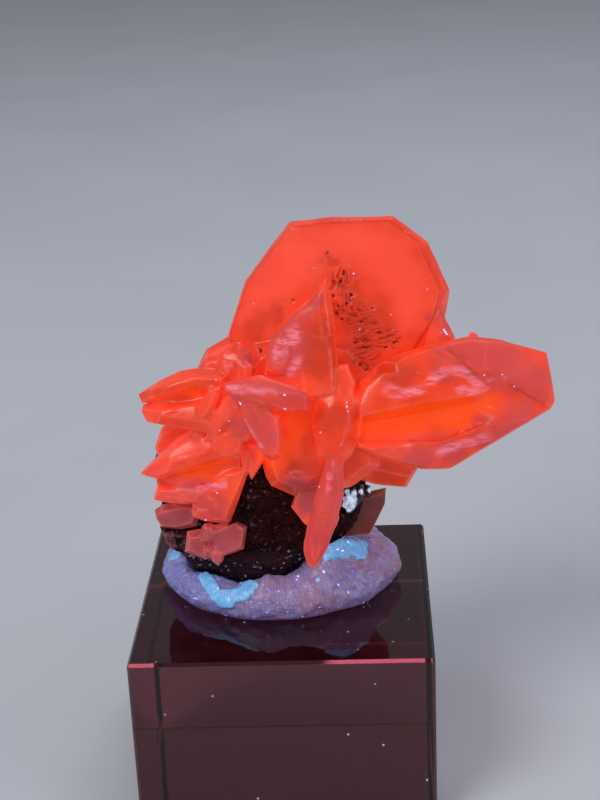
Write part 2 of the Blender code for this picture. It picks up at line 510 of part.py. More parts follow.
def rock_mesh(name, swell=0.0):
    """A broken lump: an ellipsoid with its sides pushed in and out by coarse and fine noise."""
    bm = bmesh.new()
    bmesh.ops.create_icosphere(bm, subdivisions=4, radius=1.0)
    centre = Vector(ROCK_CENTRE)
    for v in bm.verts:
        way = v.co.normalized()
        # A power below 1 squares the ellipsoid up, as a rock broken on flat joints is
        blocky = Vector([math.copysign(abs(c) ** 0.72, c) for c in way])
        place = Vector([c * half for c, half in zip(blocky, ROCK_HALF_SIZE)])
        if place.x > 0:
            place.x *= 1 + ROCK_OVERHANG * blocky.z
        coarse = noise.noise(place / ROCK_LUMP)
        fine = noise.noise(place / (ROCK_LUMP * 0.35) + Vector((7.0, 3.0, 1.0)))
        v.co = centre + place + way * (ROCK_ROUGHNESS * coarse + 0.45 * ROCK_ROUGHNESS * fine + swell)
    bmesh.ops.scale(bm, vec=(MM, MM, MM), verts=bm.verts[:])
    mesh = bpy.data.meshes.new(name)
    bm.to_mesh(mesh)
    bm.free()
    return mesh


def tack_radius(angle):
    """The bun's outer radius in a direction, smoothly between the stated ones."""
    step = angle / (2 * math.pi) * len(TACK_RADII)
    before = int(math.floor(step)) % len(TACK_RADII)
    share = step - math.floor(step)
    blend = (1 - math.cos(math.pi * share)) / 2
    after = (before + 1) % len(TACK_RADII)
    return TACK_RADII[before] * (1 - blend) + TACK_RADII[after] * blend


def tack_push(angle, share):
    """How much the putty stands up or is pressed down in a direction, most of it close to the rock."""
    rise = 0.0
    for direction, spread, height in TACK_PUSHES:
        off = (math.degrees(angle) - direction + 180) % 360 - 180
        if abs(off) < spread:
            rise += height * math.cos(math.pi / 2 * off / spread) ** 2
    return rise * min(1.0, (1.0 - share) / 0.4)


def tack_mesh():
    """A squeezed bun of putty: the profile turned round, its radius and top varied by kneading."""
    sides = 56
    base = BLOCK_HEIGHT + GAP / 3
    bm = bmesh.new()
    rings = []
    for share, height in TACK_PROFILE:
        ring = []
        for i in range(sides):
            angle = 2 * math.pi * i / sides
            outward = share * tack_radius(angle)
            x = TACK_CENTRE[0] + outward * math.cos(angle)
            y = TACK_CENTRE[1] + outward * math.sin(angle)
            knead = 0.9 * noise.noise(Vector((x, y, 0.0)) / 3.6)
            knead += 0.3 * noise.noise(Vector((x, y, 5.0)) / 1.5)
            top = TACK_HEIGHT + knead + tack_push(angle, share)
            ring.append(bm.verts.new((x, y, base + height * top)))
        rings.append(ring)
    for lower, upper in zip(rings, rings[1:]):
        for i in range(sides):
            after = (i + 1) % sides
            bm.faces.new((lower[i], lower[after], upper[after], upper[i]))
    bm.faces.new(reversed(rings[0]))
    bm.faces.new(rings[-1])
    bmesh.ops.scale(bm, vec=(MM, MM, MM), verts=bm.verts[:])
    for face in bm.faces:
        face.smooth = True
    mesh = bpy.data.meshes.new("mineral_tack")
    bm.to_mesh(mesh)
    bm.free()
    return mesh


def main():
    for obj in list(bpy.data.objects):
        bpy.data.objects.remove(obj)

    acrylic = material("smoky_plum_acrylic", (0.12, 0.05, 0.09), 0.04, transmission=0.9)
    putty = material("lilac_putty", (0.52, 0.44, 0.62), 0.35)
    dark_rock = material("dark_sparry_rock", (0.03, 0.012, 0.012), 0.6)
    calcite = material("glowing_calcite", (0.85, 0.08, 0.035), 0.3)
    white_mineral = material("white_druse", (0.7, 0.78, 0.85), 0.4)

    display_block(acrylic)

    cluster = HEART + FAN + BARREL + LEFT_UPPER + LEFT_LOWER + BLADES + MIDDLE + REAR
    grown = joined_crystals("calcite_cluster", cluster, calcite)
    add_boolean(grown, "DIFFERENCE", etch_pits("fan_pits"))
    add_boolean(grown, "DIFFERENCE", waist_hollow("waist_hollow"))
    side = joined_crystals("calcite_side_crystal", SIDE_CRYSTAL, calcite)
    add_boolean(side, "DIFFERENCE", swollen_room("side_room", LEFT_LOWER + FOOT_CRYSTALS))
    foot = joined_crystals("calcite_foot_crystals", FOOT_CRYSTALS, calcite)
    add_boolean(foot, "DIFFERENCE", swollen_room("foot_room", LEFT_LOWER))
    joined_crystals("calcite_rear_crystal", REAR_CRYSTAL, calcite)
    druse = joined_crystals("white_druse", DRUSE, white_mineral)
    add_boolean(druse, "DIFFERENCE", swollen_room("druse_room", MIDDLE))

    room = swollen_room("crystal_room", cluster + SIDE_CRYSTAL + FOOT_CRYSTALS + REAR_CRYSTAL + DRUSE)
    rock = add_object("matrix_rock", rock_mesh("matrix_rock"))
    rock.data.materials.append(dark_rock)
    add_boolean(rock, "DIFFERENCE", room)

    tack = add_object("mineral_tack", tack_mesh())
    tack.data.materials.append(putty)
    standing = [crystal_mesh("rock_room", c, GAP) for c in REAR_CRYSTAL + FOOT_CRYSTALS]
    add_boolean(tack, "DIFFERENCE", guide_group("rock_room", [rock_mesh("rock_room", GAP)] + standing))


main()
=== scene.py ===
"""The looks of the calcite specimen: dense, displaced skins over the frame's solids, and their materials."""

import math

import bmesh
import bpy
from mathutils import Matrix, Vector, bvhtree, kdtree, noise


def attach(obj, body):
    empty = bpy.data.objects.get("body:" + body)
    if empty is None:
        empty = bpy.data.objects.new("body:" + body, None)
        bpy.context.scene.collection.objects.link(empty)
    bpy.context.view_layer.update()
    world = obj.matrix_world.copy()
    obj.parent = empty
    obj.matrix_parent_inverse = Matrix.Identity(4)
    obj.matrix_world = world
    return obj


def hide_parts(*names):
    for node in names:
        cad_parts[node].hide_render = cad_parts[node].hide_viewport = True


MM = 0.001

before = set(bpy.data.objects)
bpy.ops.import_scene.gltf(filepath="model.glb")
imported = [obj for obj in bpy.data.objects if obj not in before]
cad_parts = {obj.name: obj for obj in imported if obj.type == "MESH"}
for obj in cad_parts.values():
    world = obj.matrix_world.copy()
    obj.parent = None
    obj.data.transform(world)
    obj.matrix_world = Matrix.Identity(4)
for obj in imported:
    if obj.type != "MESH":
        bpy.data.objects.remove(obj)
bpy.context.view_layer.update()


def linear(hex_colour):
    """An sRGB hex colour as linear red, green, blue and an alpha of 1."""
    parts = [int(hex_colour[i : i + 2], 16) / 255 for i in (1, 3, 5)]
    return (*[c / 12.92 if c <= 0.04045 else ((c + 0.055) / 1.055) ** 2.4 for c in parts], 1.0)


def add(tree, kind, settings=None, values=None, links=None):
    """Adds a node. settings are its own options, values its unlinked sockets and links the outputs that feed it."""
    made = tree.nodes.new(kind)
    for name, value in (settings or {}).items():
        if name == "ramp":
            elements = made.color_ramp.elements
            while len(elements) < len(value):
                elements.new(0.5)
            for element, (position, colour) in zip(elements, value):
                element.position = position
                element.color = colour
        else:
            setattr(made, name, value)
    for name, value in (values or {}).items():
        made.inputs[name].default_value = value
    for name, source in (links or {}).items():
        tree.links.new(source, made.inputs[name])
    return made


def new_material(name):
    """A material with an empty node tree, its output and its coordinates in millimetres."""
    material = bpy.data.materials.new(name)
    material.use_nodes = True
    tree = material.node_tree
    tree.nodes.clear()
    output = add(tree, "ShaderNodeOutputMaterial")
    place = add(tree, "ShaderNodeTexCoord")
    scaled = add(
        tree, "ShaderNodeMapping", values={"Scale": (1000, 1000, 1000)}, links={"Vector": place.outputs["Object"]}
    )
    return material, tree, output, scaled.outputs[0]


# The skins' geometry


def merged_copy(node):
    """A bmesh of a CAD node's solid with its doubles merged and its flat faces whole."""
    bm = bmesh.new()
    bm.from_mesh(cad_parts[node].data)
    for layer in list(bm.loops.layers.uv):
        bm.loops.layers.uv.remove(layer)
    bmesh.ops.remove_doubles(bm, verts=bm.verts[:], dist=0.01 * MM)
    bmesh.ops.dissolve_limit(bm, angle_limit=math.radians(0.6), verts=bm.verts[:], edges=bm.edges[:])
    return bm


def halve(bm, edges):
    """Cuts the edges in two and leaves only triangles."""
    bmesh.ops.subdivide_edges(bm, edges=edges, cuts=1)
    bmesh.ops.triangulate(bm, faces=[f for f in bm.faces if len(f.verts) > 3])


def split_to(bm, longest):
    """Halves the edges until none is longer than longest, and evens the triangles out on flat ground."""
    bmesh.ops.triangulate(bm, faces=bm.faces[:])
    for _ in range(12):
        long_edges = [e for e in bm.edges if e.calc_length() > longest]
        if not long_edges:
            break
        halve(bm, long_edges)
        if len(bm.faces) < 40000:
            flat = [e for e in bm.edges if len(e.link_faces) == 2 and e.calc_face_angle() < 0.002]
            bmesh.ops.beautify_fill(bm, faces=bm.faces[:], edges=flat)


def tree_of(places):
    """A search tree over places in metres, which finds the one nearest to a point."""
    tree = kdtree.KDTree(len(places))
    for i, place in enumerate(places):
        tree.insert(place, i)
    tree.balance()
    return tree


def refine_near(bm, patches, longest, passes):
    """Halves the edges in the patches (x, y, z, radius in millimetres) that are longer than longest."""
    for _ in range(passes):
        tree = tree_of([v.co for v in bm.verts])
        near = set()
        for patch in patches:
            near.update(found[1] for found in tree.find_range(Vector(patch[:3]) * MM, patch[3] * MM))
        bm.verts.index_update()
        edges = [e for e in bm.edges if e.verts[0].index in near or e.verts[1].index in near]
        halve(bm, [e for e in edges if e.calc_length() > longest])


def sharp_edges(bm, angle, convex):
    """The edges where two faces meet at more than an angle, outwards or inwards."""
    return [e for e in bm.edges if e.calc_face_angle(0) > angle and e.is_convex == convex]


def distances(bm, chosen, reach):
    """How far every vertex is from the nearest vertex of the chosen edges, at most reach, in millimetres."""
    ends = [v.co for e in chosen for v in e.verts]
    if not ends:
        return [reach] * len(bm.verts)
    tree = tree_of(ends)
    return [min(reach, tree.find(v.co)[2] / MM) for v in bm.verts]


def in_millimetres(bm, stray=0.0):
    """A search tree of the vertices in millimetres, led astray by noise so that patches get ragged edges."""
    places = []
    for v in bm.verts:
        place = v.co / MM
        wander = noise.noise_vector(place / 2.8) + 0.4 * noise.noise_vector(place / 0.9)
        places.append(place + wander * stray)
    return tree_of(places)


def relax(bm, verts, times):
    """Draws vertices towards their neighbours' middle, which rounds edges and evens folds."""
    for _ in range(times):
        bmesh.ops.smooth_vert(bm, verts=verts, factor=0.5, use_axis_x=True, use_axis_y=True, use_axis_z=True)


def smooth_step(low, high, value):
    share = min(1.0, max(0.0, (value - low) / (high - low)))
    return share * share * (3 - 2 * share)


def patch_layer(tree, size, patches):
    """Soft patches (x, y, z, radius) that melt together, at each of a tree's places, all in millimetres."""
    layer = [0.0] * size
    for x, y, z, radius in patches:
        for found, i, gap in tree.find_range((x, y, z), radius):
            layer[i] += (1.0 - layer[i]) * (1.0 - (gap / radius) ** 2) ** 2
    return layer


def along(points, radius):
    """Patches of one radius along a line of points, a third of a millimetre apart."""
    patches = []
    for start, end in zip(points, points[1:]):
        start, end = Vector(start), Vector(end)
        steps = max(1, round((end - start).length * 3))
        patches += [(*start.lerp(end, i / steps), radius) for i in range(steps + 1)]
    return patches


def as_piece(bm, name, node, material, layers, smooth=True):
    """Makes the finished bmesh a piece of the scene in the place of its CAD node, with its layers as attributes."""
    mesh = bpy.data.meshes.new(name)
    bm.to_mesh(mesh)
    bm.free()
    for layer, values in layers.items():
        attribute = mesh.attributes.new(layer, "FLOAT", "POINT")
        attribute.data.foreach_set("value", values)
    for polygon in mesh.polygons:
        polygon.use_smooth = smooth
    mesh.materials.append(material)
    piece = bpy.data.objects.new(name, mesh)
    bpy.context.scene.collection.objects.link(piece)
    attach(piece, "root")
    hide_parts(node)
    return piece


# Places on the cluster in millimetres, each with a radius. White veils of bubbles:
MILKY = (
    along([(12.0, -5.5, 45.7), (13.6, -5.6, 45.5), (15.4, -5.5, 45.8)], 0.85)
    + along([(16.2, -5.0, 46.6), (17.6, -4.8, 47.4), (19.2, -4.7, 47.3)], 0.8)
    + along([(19.2, -4.7, 47.3), (20.6, -4.9, 46.4), (21.6, -5.0, 45.8)], 0.8)
    + along([(18.8, -5.2, 45.5), (20.2, -5.3, 45.2), (21.4, -5.1, 45.7)], 0.65)
    + along([(22.2, -4.8, 46.5), (24.4, -4.4, 46.6)], 0.35)
    + along([(17.0, -6.5, 39.2), (18.6, -6.3, 39.7), (20.4, -6.1, 40.0), (21.8, -5.9, 40.6)], 0.9)
    + along([(8.6, -7.0, 40.6), (11.0, -7.6, 40.5), (14.0, -7.0, 40.1)], 0.4)
    + along([(0.7, -5.4, 49.6), (1.3, -5.1, 50.8), (2.4, -4.5, 52.0)], 1.1)
    + along([(1.7, -5.3, 47.8), (2.5, -5.2, 49.2)], 0.8)
    + along([(-4.2, -7.8, 47.5), (-2.8, -8.1, 47.3), (-1.6, -8.1, 46.9), (0.2, -8.3, 46.8)], 0.6)
    + along([(-4.9, -3.3, 49.5), (-4.6, -3.8, 48.0)], 0.7)
    + along([(-3.7, -7.4, 45.0), (-2.9, -8.0, 43.6), (-2.3, -8.6, 42.4), (-1.3, -9.2, 41.2)], 0.5)
    + along([(-8.6, -4.8, 34.9), (-7.0, -5.1, 35.3), (-5.6, -5.3, 35.6)], 0.6)
    + along([(-13.7, -2.9, 45.8), (-12.2, -3.6, 46.6)], 0.5)
    + along([(5.4, -8.1, 37.6), (5.6, -8.5, 36.0)], 0.6)
)
# Pink frosted faces, dulled by fine etching:
FROSTED = [
    (-2.7, -8.1, 47.0, 2.2), (0.4, -8.3, 46.6, 2.2), (2.9, -8.6, 45.9, 1.8), (-2.4, -8.4, 43.8, 2.0),
    (-0.8, -9.0, 42.0, 2.0), (5.3, -8.2, 37.4, 2.4), (4.8, -8.8, 34.4, 2.8), (4.4, -9.3, 31.2, 3.0),
    (1.0, -5.2, 50.4, 2.8), (2.6, -4.6, 53.0, 2.4), (4.4, -3.8, 55.0, 2.0), (1.6, -5.4, 48.2, 2.0),
    (18.4, -4.4, 47.8, 2.6), (23.4, -4.0, 47.6, 3.6), (27.0, -3.2, 45.5, 2.8), (21.0, -2.6, 49.4, 2.4),
    (22.5, -5.6, 41.0, 2.6), (25.6, -5.5, 42.2, 2.2), (18.5, -6.2, 38.8, 2.4), (14.5, -6.6, 38.6, 2.0),
    (-10.0, -4.9, 34.0, 2.4), (-7.0, -5.4, 34.0, 2.2), (-6.9, -5.8, 32.2, 2.4), (-2.4, -3.3, 48.6, 1.2),
    (17.6, 0.0, 51.2, 1.8), (2.4, -6.1, 35.0, 2.4), (2.6, -6.2, 33.2, 2.0), (-3.9, -6.9, 42.6, 1.6),
    (5.0, -8.6, 35.6, 2.4), (4.6, -9.0, 32.6, 2.6),
]
# Painted glow: zones, most of them recesses, painted a saturated orange as if lit from within:
PAINTED_GLOW_ZONES = [
    (9.4, -5.6, 42.0, 1.8), (11.5, -5.4, 42.4, 2.2), (13.6, -5.2, 42.6, 2.4), (15.6, -5.0, 42.7, 2.4),
    (17.7, -4.8, 43.0, 2.2), (19.8, -4.6, 43.3, 2.0), (21.9, -5.0, 43.8, 1.6), (-11.0, -3.8, 45.0, 1.2),
    (-9.2, -3.8, 45.7, 1.2), (-12.8, -3.2, 44.7, 0.9), (-10.0, -4.6, 36.8, 1.4), (-7.8, -4.6, 37.2, 1.6),
    (-5.8, -4.8, 37.8, 1.4), (2.4, -5.3, 41.8, 1.9), (1.2, -5.4, 40.0, 1.4),
    (-0.4, -5.9, 38.4, 1.6), (-8.6, -4.8, 37.2, 1.6),
]
# Light pinkish red zones, where the crystal is clouded near its surface:
BLUSHING = [
    (-1.4, 2.2, 55.4, 3.4), (1.4, 2.2, 57.6, 3.4), (-2.4, 2.0, 52.4, 2.4), (4.6, 2.4, 59.0, 3.0), (8.4, 2.6, 59.4, 3.4),
    (12.4, 2.4, 57.8, 3.4), (14.6, 1.8, 54.6, 3.0), (13.8, 1.0, 52.0, 2.2), (-13.0, -4.0, 37.8, 2.4),
    (-11.6, -4.4, 39.4, 2.4), (-9.0, -5.2, 39.6, 2.0), (-12.6, -4.4, 34.6, 2.4), (-10.0, -4.8, 34.2, 2.4),
    (11.6, -6.6, 40.0, 2.4), (14.4, -6.4, 40.0, 2.4), (12.6, -6.8, 41.0, 2.0), (-13.0, -3.2, 43.4, 2.0), (-7.2, -4.6, 43.4, 2.2),
    (-12.8, -3.0, 46.6, 1.6), (-8.6, -4.6, 33.0, 2.0), (-5.2, -6.4, 44.4, 1.6), (-5.6, -6.0, 45.6, 1.4),
]
# Painted shade: zones painted a deeper red, where parts of the crystal lie in shade:
SHADED = [
    (3.9, -4.8, 50.2, 1.8), (4.9, -5.0, 48.6, 1.8), (5.6, -4.3, 51.2, 1.8), (8.0, 1.0, 54.0, 2.0),
    (10.2, 0.6, 52.2, 2.2), (10.0, 0.1, 50.0, 2.8), (9.0, -0.3, 47.6, 2.4), (-2.0, 1.2, 50.5, 1.8),
    (0.2, 1.6, 51.8, 1.6), (4.5, -6.1, 37.4, 2.0), (7.5, -5.8, 37.6, 2.4), (12.0, -1.6, 34.2, 3.0),
    (0.6, -6.2, 36.6, 2.0), (5.9, 2.4, 57.4, 0.8), (2.6, -6.2, 37.4, 2.2), (6.4, -6.8, 43.4, 2.2),
    (-0.6, -8.8, 44.4, 1.4), (13.0, -4.8, 47.6, 2.2), (3.4, -5.6, 41.0, 1.4),
    (-3.3, -5.2, 40.4, 1.6), (11.6, -4.0, 47.8, 2.0), (-3.2, -2.9, 49.8, 1.6), (-6.0, -5.4, 40.6, 1.4),
]
# Plates stacked on each other, seen on edge:
STACKED = [
    (-12.8, -3.2, 45.2, 2.2), (-10.8, -3.8, 45.6, 2.6), (-8.4, -4.0, 46.2, 2.2), (-11.0, -3.8, 43.8, 1.8),
    (-13.0, -4.0, 37.0, 2.0), (-10.4, -4.8, 37.6, 2.6), (-7.8, -4.8, 37.8, 2.6), (-5.6, -5.0, 38.2, 2.0),
    (-10.0, -4.6, 35.6, 2.4), (-6.8, -5.2, 35.2, 2.2), (17.3, -4.0, 48.4, 1.8), (19.0, -4.4, 47.6, 2.2),
    (20.8, -4.6, 46.8, 2.0), (16.0, -4.8, 46.6, 1.8), (19.6, -5.8, 41.4, 2.0), (22.4, -5.4, 42.4, 1.8),
]
# Thin blades and lumps whose edges are rounded and half dissolved:
MOLTEN = [
    (-4.6, -7.4, 47.6, 1.8), (-2.7, -8.1, 47.2, 2.4), (0.4, -8.3, 46.8, 2.6), (3.2, -8.4, 46.0, 2.4),
    (-3.6, -7.4, 45.0, 1.8), (-2.4, -8.4, 43.4, 2.2), (-0.8, -9.1, 41.8, 2.6), (-4.6, -6.9, 42.8, 2.4),
    (-4.4, -3.2, 49.2, 2.4), (2.4, -4.8, 51.6, 2.8), (3.6, -4.2, 54.0, 2.8), (5.8, -3.0, 56.0, 2.0),
    (1.6, -5.2, 48.8, 2.8), (5.2, -4.6, 49.4, 2.4), (5.4, -7.8, 42.2, 3.2), (6.6, -6.8, 44.0, 2.8),
    (6.2, -7.6, 40.0, 2.4), (4.6, -8.9, 33.6, 2.4), (4.4, -9.3, 31.2, 2.2), (5.2, -8.4, 36.6, 2.4),
    (2.6, -6.6, 36.4, 2.4), (-10.4, -4.4, 46.0, 2.4), (-8.0, -4.6, 45.4, 2.4), (-12.4, -3.4, 44.0, 1.6),
    (-9.0, -5.2, 38.6, 2.6), (-6.4, -6.0, 38.6, 2.4), (-9.4, -4.8, 35.6, 2.4), (-6.6, -5.2, 35.8, 2.4),
    (23.3, -5.2, 44.6, 2.2), (23.4, -5.4, 42.6, 2.4), (20.6, -5.2, 44.6, 1.4), (17.6, -5.4, 44.3, 1.4),
    (14.6, -5.6, 44.0, 1.4), (11.6, -5.8, 43.6, 1.4), (10.6, -4.6, 46.4, 2.4), (8.6, -4.6, 46.0, 2.0),
    (-7.4, -6.0, 29.4, 1.2), (-8.0, -5.8, 31.0, 1.2),
]
# The fan's edge at its left and top, where the newest growth reaches the rim:
OVERGROWN = along([(-4.0, 1.6, 49.0), (-3.2, 2.4, 53.4), (-1.2, 3.2, 57.2)], 2.6) + along(
    [(-1.2, 3.2, 57.2), (1.6, 3.8, 60.4), (6.5, 3.8, 61.0), (12.6, 3.8, 60.9)], 2.6
)
# The two planes of its front, each with its normal and its height above the origin in millimetres:
FAN_FRONT = ((Vector((-0.1853, -0.94, 0.2865)), 13.6), (Vector((0.0172, -0.926, 0.3772)), 19.74))
# Painted shade in the creases between the barrel's facets:
SHADED_CREASES = along([(18.2, -3.0, 49.2), (19.7, -3.9, 48.0), (20.8, -4.7, 47.0), (22.1, -4.9, 45.8)], 0.32) + along(
    [(24.4, -4.6, 45.7), (25.3, -4.7, 45.2), (26.5, -4.8, 44.4), (27.9, -4.9, 43.6)], 0.3
)
# Dull rose crystals:
DULL = [(2.4, -6.2, 35.2, 2.0), (3.0, -6.2, 33.2, 2.4), (1.5, -6.4, 35.6, 1.6), (-9.2, -3.4, 31.0, 2.0)]
# Ground scratched by etching, and the pits in it with half their width and height; the pits are darkened with painted
# shade:
ETCHED = [
    (7.2, 1.0, 55.6, 1.8), (7.0, 0.4, 53.4, 2.0), (8.6, 0.3, 51.9, 2.0), (9.8, 0.1, 50.2, 2.2),
    (10.0, -0.2, 48.6, 2.0), (12.2, 0.0, 49.4, 1.6), (9.2, -0.4, 47.0, 1.4),
]
PITS = [
    (5.9, 2.6, 58.4, 0.13, 0.12), (7.5, 1.7, 56.3, 0.24, 0.3), (7.2, 1.4, 55.4, 0.15, 0.5),
    (6.4, 0.8, 54.1, 0.18, 0.24), (6.7, 0.3, 52.3, 0.3, 0.2), (7.8, 0.6, 53.3, 0.2, 0.12),
    (8.6, 0.3, 51.9, 0.3, 0.12), (9.3, 0.2, 51.3, 0.26, 0.11), (8.6, -0.1, 49.2, 0.4, 0.17),
    (9.4, -0.2, 48.5, 0.85, 0.13), (11.8, -0.2, 48.5, 0.3, 0.12), (12.7, -0.1, 49.1, 0.36, 0.13),
    (9.1, -0.5, 46.9, 0.22, 0.12), (9.7, -0.4, 46.6, 0.12, 0.1), (2.0, 1.4, 53.5, 0.2, 0.1),
    (6.9, 0.5, 53.0, 0.12, 0.2), (7.2, 0.2, 51.6, 0.22, 0.1), (8.2, 0.9, 54.0, 0.24, 0.09),
    (11.0, 0.0, 50.1, 0.3, 0.09), (12.0, -0.1, 49.6, 0.28, 0.08),
    (-1.5, -0.2, 48.7, 0.2, 0.2), (12.4, -7.2, 38.3, 0.3, 0.14),
]
# Painted glints: small bright spots of painted highlight on the cleavage steps:
PAINTED_GLINTS = [
    (17.9, -0.7, 50.5, 0.22), (18.05, -0.8, 50.3, 0.24), (18.2, -0.9, 50.1, 0.22), (7.6, -6.2, 44.8, 0.16),
    (7.6, -6.3, 44.4, 0.2), (7.7, -6.4, 43.9, 0.14), (-3.6, -2.1, 50.4, 0.2), (-0.7, -4.7, 47.6, 0.2),
    (-3.3, -7.7, 45.6, 0.34), (1.3, -8.5, 46.7, 0.22), (1.3, -8.7, 45.2, 0.22), (3.3, -7.5, 46.9, 0.16),
    (4.7, -7.1, 41.9, 0.18), (-4.6, -7.0, 43.3, 0.16), (-5.7, -6.7, 42.2, 0.2), (6.9, -7.7, 40.7, 0.14),
    (-4.2, -5.1, 38.4, 0.16), (-6.5, -5.6, 34.6, 0.16), (-8.0, -5.7, 31.4, 0.22), (4.4, -8.1, 36.2, 0.16),
    (-13.6, -1.9, 43.5, 0.18), (-5.9, -5.0, 47.2, 0.14), (9.1, 0.1, 50.5, 0.16), (8.6, 1.7, 56.2, 0.18),
    (-2.2, 2.1, 53.1, 0.14), (16.3, 1.2, 54.4, 0.16), (12.4, 0.3, 52.0, 0.14), (23.7, -4.3, 46.7, 0.16),
    (21.8, -4.6, 46.8, 0.14), (24.9, -4.7, 45.5, 0.14), (3.3, -9.1, 30.8, 0.12),
]
FINE = [(x, y, z, 1.0) for x, y, z, wide, high in PITS] + ETCHED + SHADED_CREASES
SPECKS = [(x, y, z, radius + 0.2) for x, y, z, radius in PAINTED_GLINTS]
SMOOTH = MILKY + PAINTED_GLOW_ZONES + FROSTED + SHADED


def layer_lines(place):
    """The plates' edges, from -1 to 1: fine lines that rise towards the right, or fall on the barrel."""
    lean = place.z + 0.45 * place.x if place.x > 10 else place.z - 0.35 * place.x
    lean += 0.3 * noise.noise(place / 3.0)
    return noise.noise(Vector((place.x / 9.0, place.y / 5.0, lean / 0.6)))


def scratches(place):
    """Fine etch marks from 0 to 1, steep in the fan's upper half and flat in its lower half."""
    steep = noise.noise(Vector((place.x / 0.22 + place.z / 1.2, place.y / 2.0, place.z / 0.9)))
    flat = noise.noise(Vector((place.x / 0.9 + place.z / 2.0, place.y / 2.0, place.z / 0.2 - place.x / 1.2)))
    return smooth_step(-0.02, 0.32, steep if place.z > 53.0 else flat)


def pit_layer(bm, tree):
    """How far each vertex lies in a dark pit, from 0 to 1; the pits are flat ovals with ragged edges."""
    layer = [0.0] * len(bm.verts)
    for x, y, z, wide, high in PITS:
        for found, i, _ in tree.find_range((x, y, z), 2.0):
            ragged = found + noise.noise_vector(found / 0.3) * 0.16
            gap = ((ragged.x - x) / wide) ** 2 + ((ragged.y - y) / 1.2) ** 2 + ((ragged.z - z) / high) ** 2
            layer[i] = max(layer[i], 1.0 - gap)
    return layer


def thickness(tree, place, normal):
    """How much crystal lies behind a place, in millimetres."""
    found = tree.ray_cast(place - normal * 0.02 * MM, -normal, 20 * MM)
    return found[3] / MM if found[0] else 20.0


def calcite_skin(node, name, material, longest):
    """A crystal group's skin: dense enough for rounded edges, ledges, etch pits and painted glints."""
    bm = merged_copy(node)
    split_to(bm, longest * MM)
    for finest in (0.45, 0.26):
        rims = {v for e in sharp_edges(bm, 0.3, True) + sharp_edges(bm, 0.3, False) for v in e.verts}
        by_rim = [e for e in bm.edges if e.verts[0] in rims or e.verts[1] in rims]
        halve(bm, [e for e in by_rim if e.calc_length() > finest * MM])
    refine_near(bm, SMOOTH, 0.5 * MM, 1)
    refine_near(bm, STACKED, 0.32 * MM, 1)
    refine_near(bm, FINE, 0.16 * MM, 2)
    refine_near(bm, SPECKS, 0.12 * MM, 2)
    size = len(bm.verts)
    rim = distances(bm, sharp_edges(bm, 0.3, True), 5.0)
    seam = distances(bm, sharp_edges(bm, 0.25, False), 5.0)
    exact = in_millimetres(bm)
    molten = patch_layer(exact, size, [(x, y, z, 1.2 * radius) for x, y, z, radius in MOLTEN])
    etched = patch_layer(exact, size, ETCHED)
    bm.verts.ensure_lookup_table()
    relax(bm, bm.verts[:], 2)
    relax(bm, [v for v, share in zip(bm.verts, etched) if share > 0.05], 3)
    relax(bm, [v for v, share in zip(bm.verts, molten) if share > 0.05], 10)
    relax(bm, [v for v, share in zip(bm.verts, molten) if share > 0.25], 14)
    bm.normal_update()
    overgrown = patch_layer(exact, size, OVERGROWN)
    for v, share in zip(bm.verts, overgrown):
        gap = min(height - plane.dot(v.co / MM) for plane, height in FAN_FRONT)
        if share > 0.02 and 0.02 < gap < 0.55:
            v.co.y -= gap * smooth_step(0.0, 0.5, share) * MM
    bm.normal_update()
    front = [v for v, share in zip(bm.verts, overgrown) if share > 0.02 and v.normal.y < -0.8]
    relax(bm, front, 12)
    bm.normal_update()
    solid = bvhtree.BVHTree.FromBMesh(bm)
    stray = in_millimetres(bm, 1.2)
    stacked = patch_layer(exact, size, STACKED)
    pits = pit_layer(bm, exact)
    layers = {
        # Painted highlight: a pale line along the crystals' outer edges, weaker on the right
        "rim": [
            math.exp(-gap / 0.13) * (1 - share) * (0.35 if v.co.x > 14 * MM else 1.0)
            for v, gap, share in zip(bm.verts, rim, map(max, molten, etched, overgrown))
        ],
        # Painted shade in the inward creases where crystals meet
        "seam": [math.exp(-gap / 0.5) * (1 - 0.6 * share) for gap, share in zip(seam, molten)],
        # Painted glow: where little crystal lies behind, the colour is painted paler and brighter, as if lit through
        "thin": [math.exp(-thickness(solid, v.co, v.normal) / 2.2) for v in bm.verts],
        "milk": patch_layer(in_millimetres(bm, 0.5), size, MILKY),
        "pit": [smooth_step(0.0, 0.5, pit) for pit in pits],
        "glint": patch_layer(exact, size, PAINTED_GLINTS),
        "crease": patch_layer(exact, size, SHADED_CREASES),
        "scratch": [],
        "plates": [],
    }
    fields = (("frost", FROSTED), ("glow", PAINTED_GLOW_ZONES), ("shade", SHADED), ("dull", DULL), ("blush", BLUSHING))
    for layer, patches in fields:
        wide = [(x, y, z, 1.35 * radius) for x, y, z, radius in patches]
        layers[layer] = [smooth_step(0.0, 0.9, share) for share in patch_layer(stray, size, wide)]
    moves = []
    for i, v in enumerate(bm.verts):
        place = v.co / MM
        scratch = scratches(place) * smooth_step(0.0, 0.4, etched[i])
        lines = layer_lines(place) * smooth_step(0.0, 0.5, stacked[i])
        waves = 0.07 * noise.noise(place / 3.1) + 0.02 * noise.noise(place / 0.9)
        height = waves + 0.14 * lines - 0.3 * layers["pit"][i] - 0.08 * scratch - 0.05
        moves.append(v.normal * (height * MM))
        layers["scratch"].append(scratch)
        layers["plates"].append(smooth_step(-0.1, 0.3, -lines) if stacked[i] else 0.0)
    for v, move in zip(bm.verts, moves):
        v.co += move
    return as_piece(bm, name, node, material, layers)


# Where the rock is weathered to a pinkish brown
WEATHERED = [(-12.3, -2.9, 27.8, 2.6), (-11.8, -2.9, 26.4, 2.0), (-12.6, -0.4, 28.4, 3.0)]


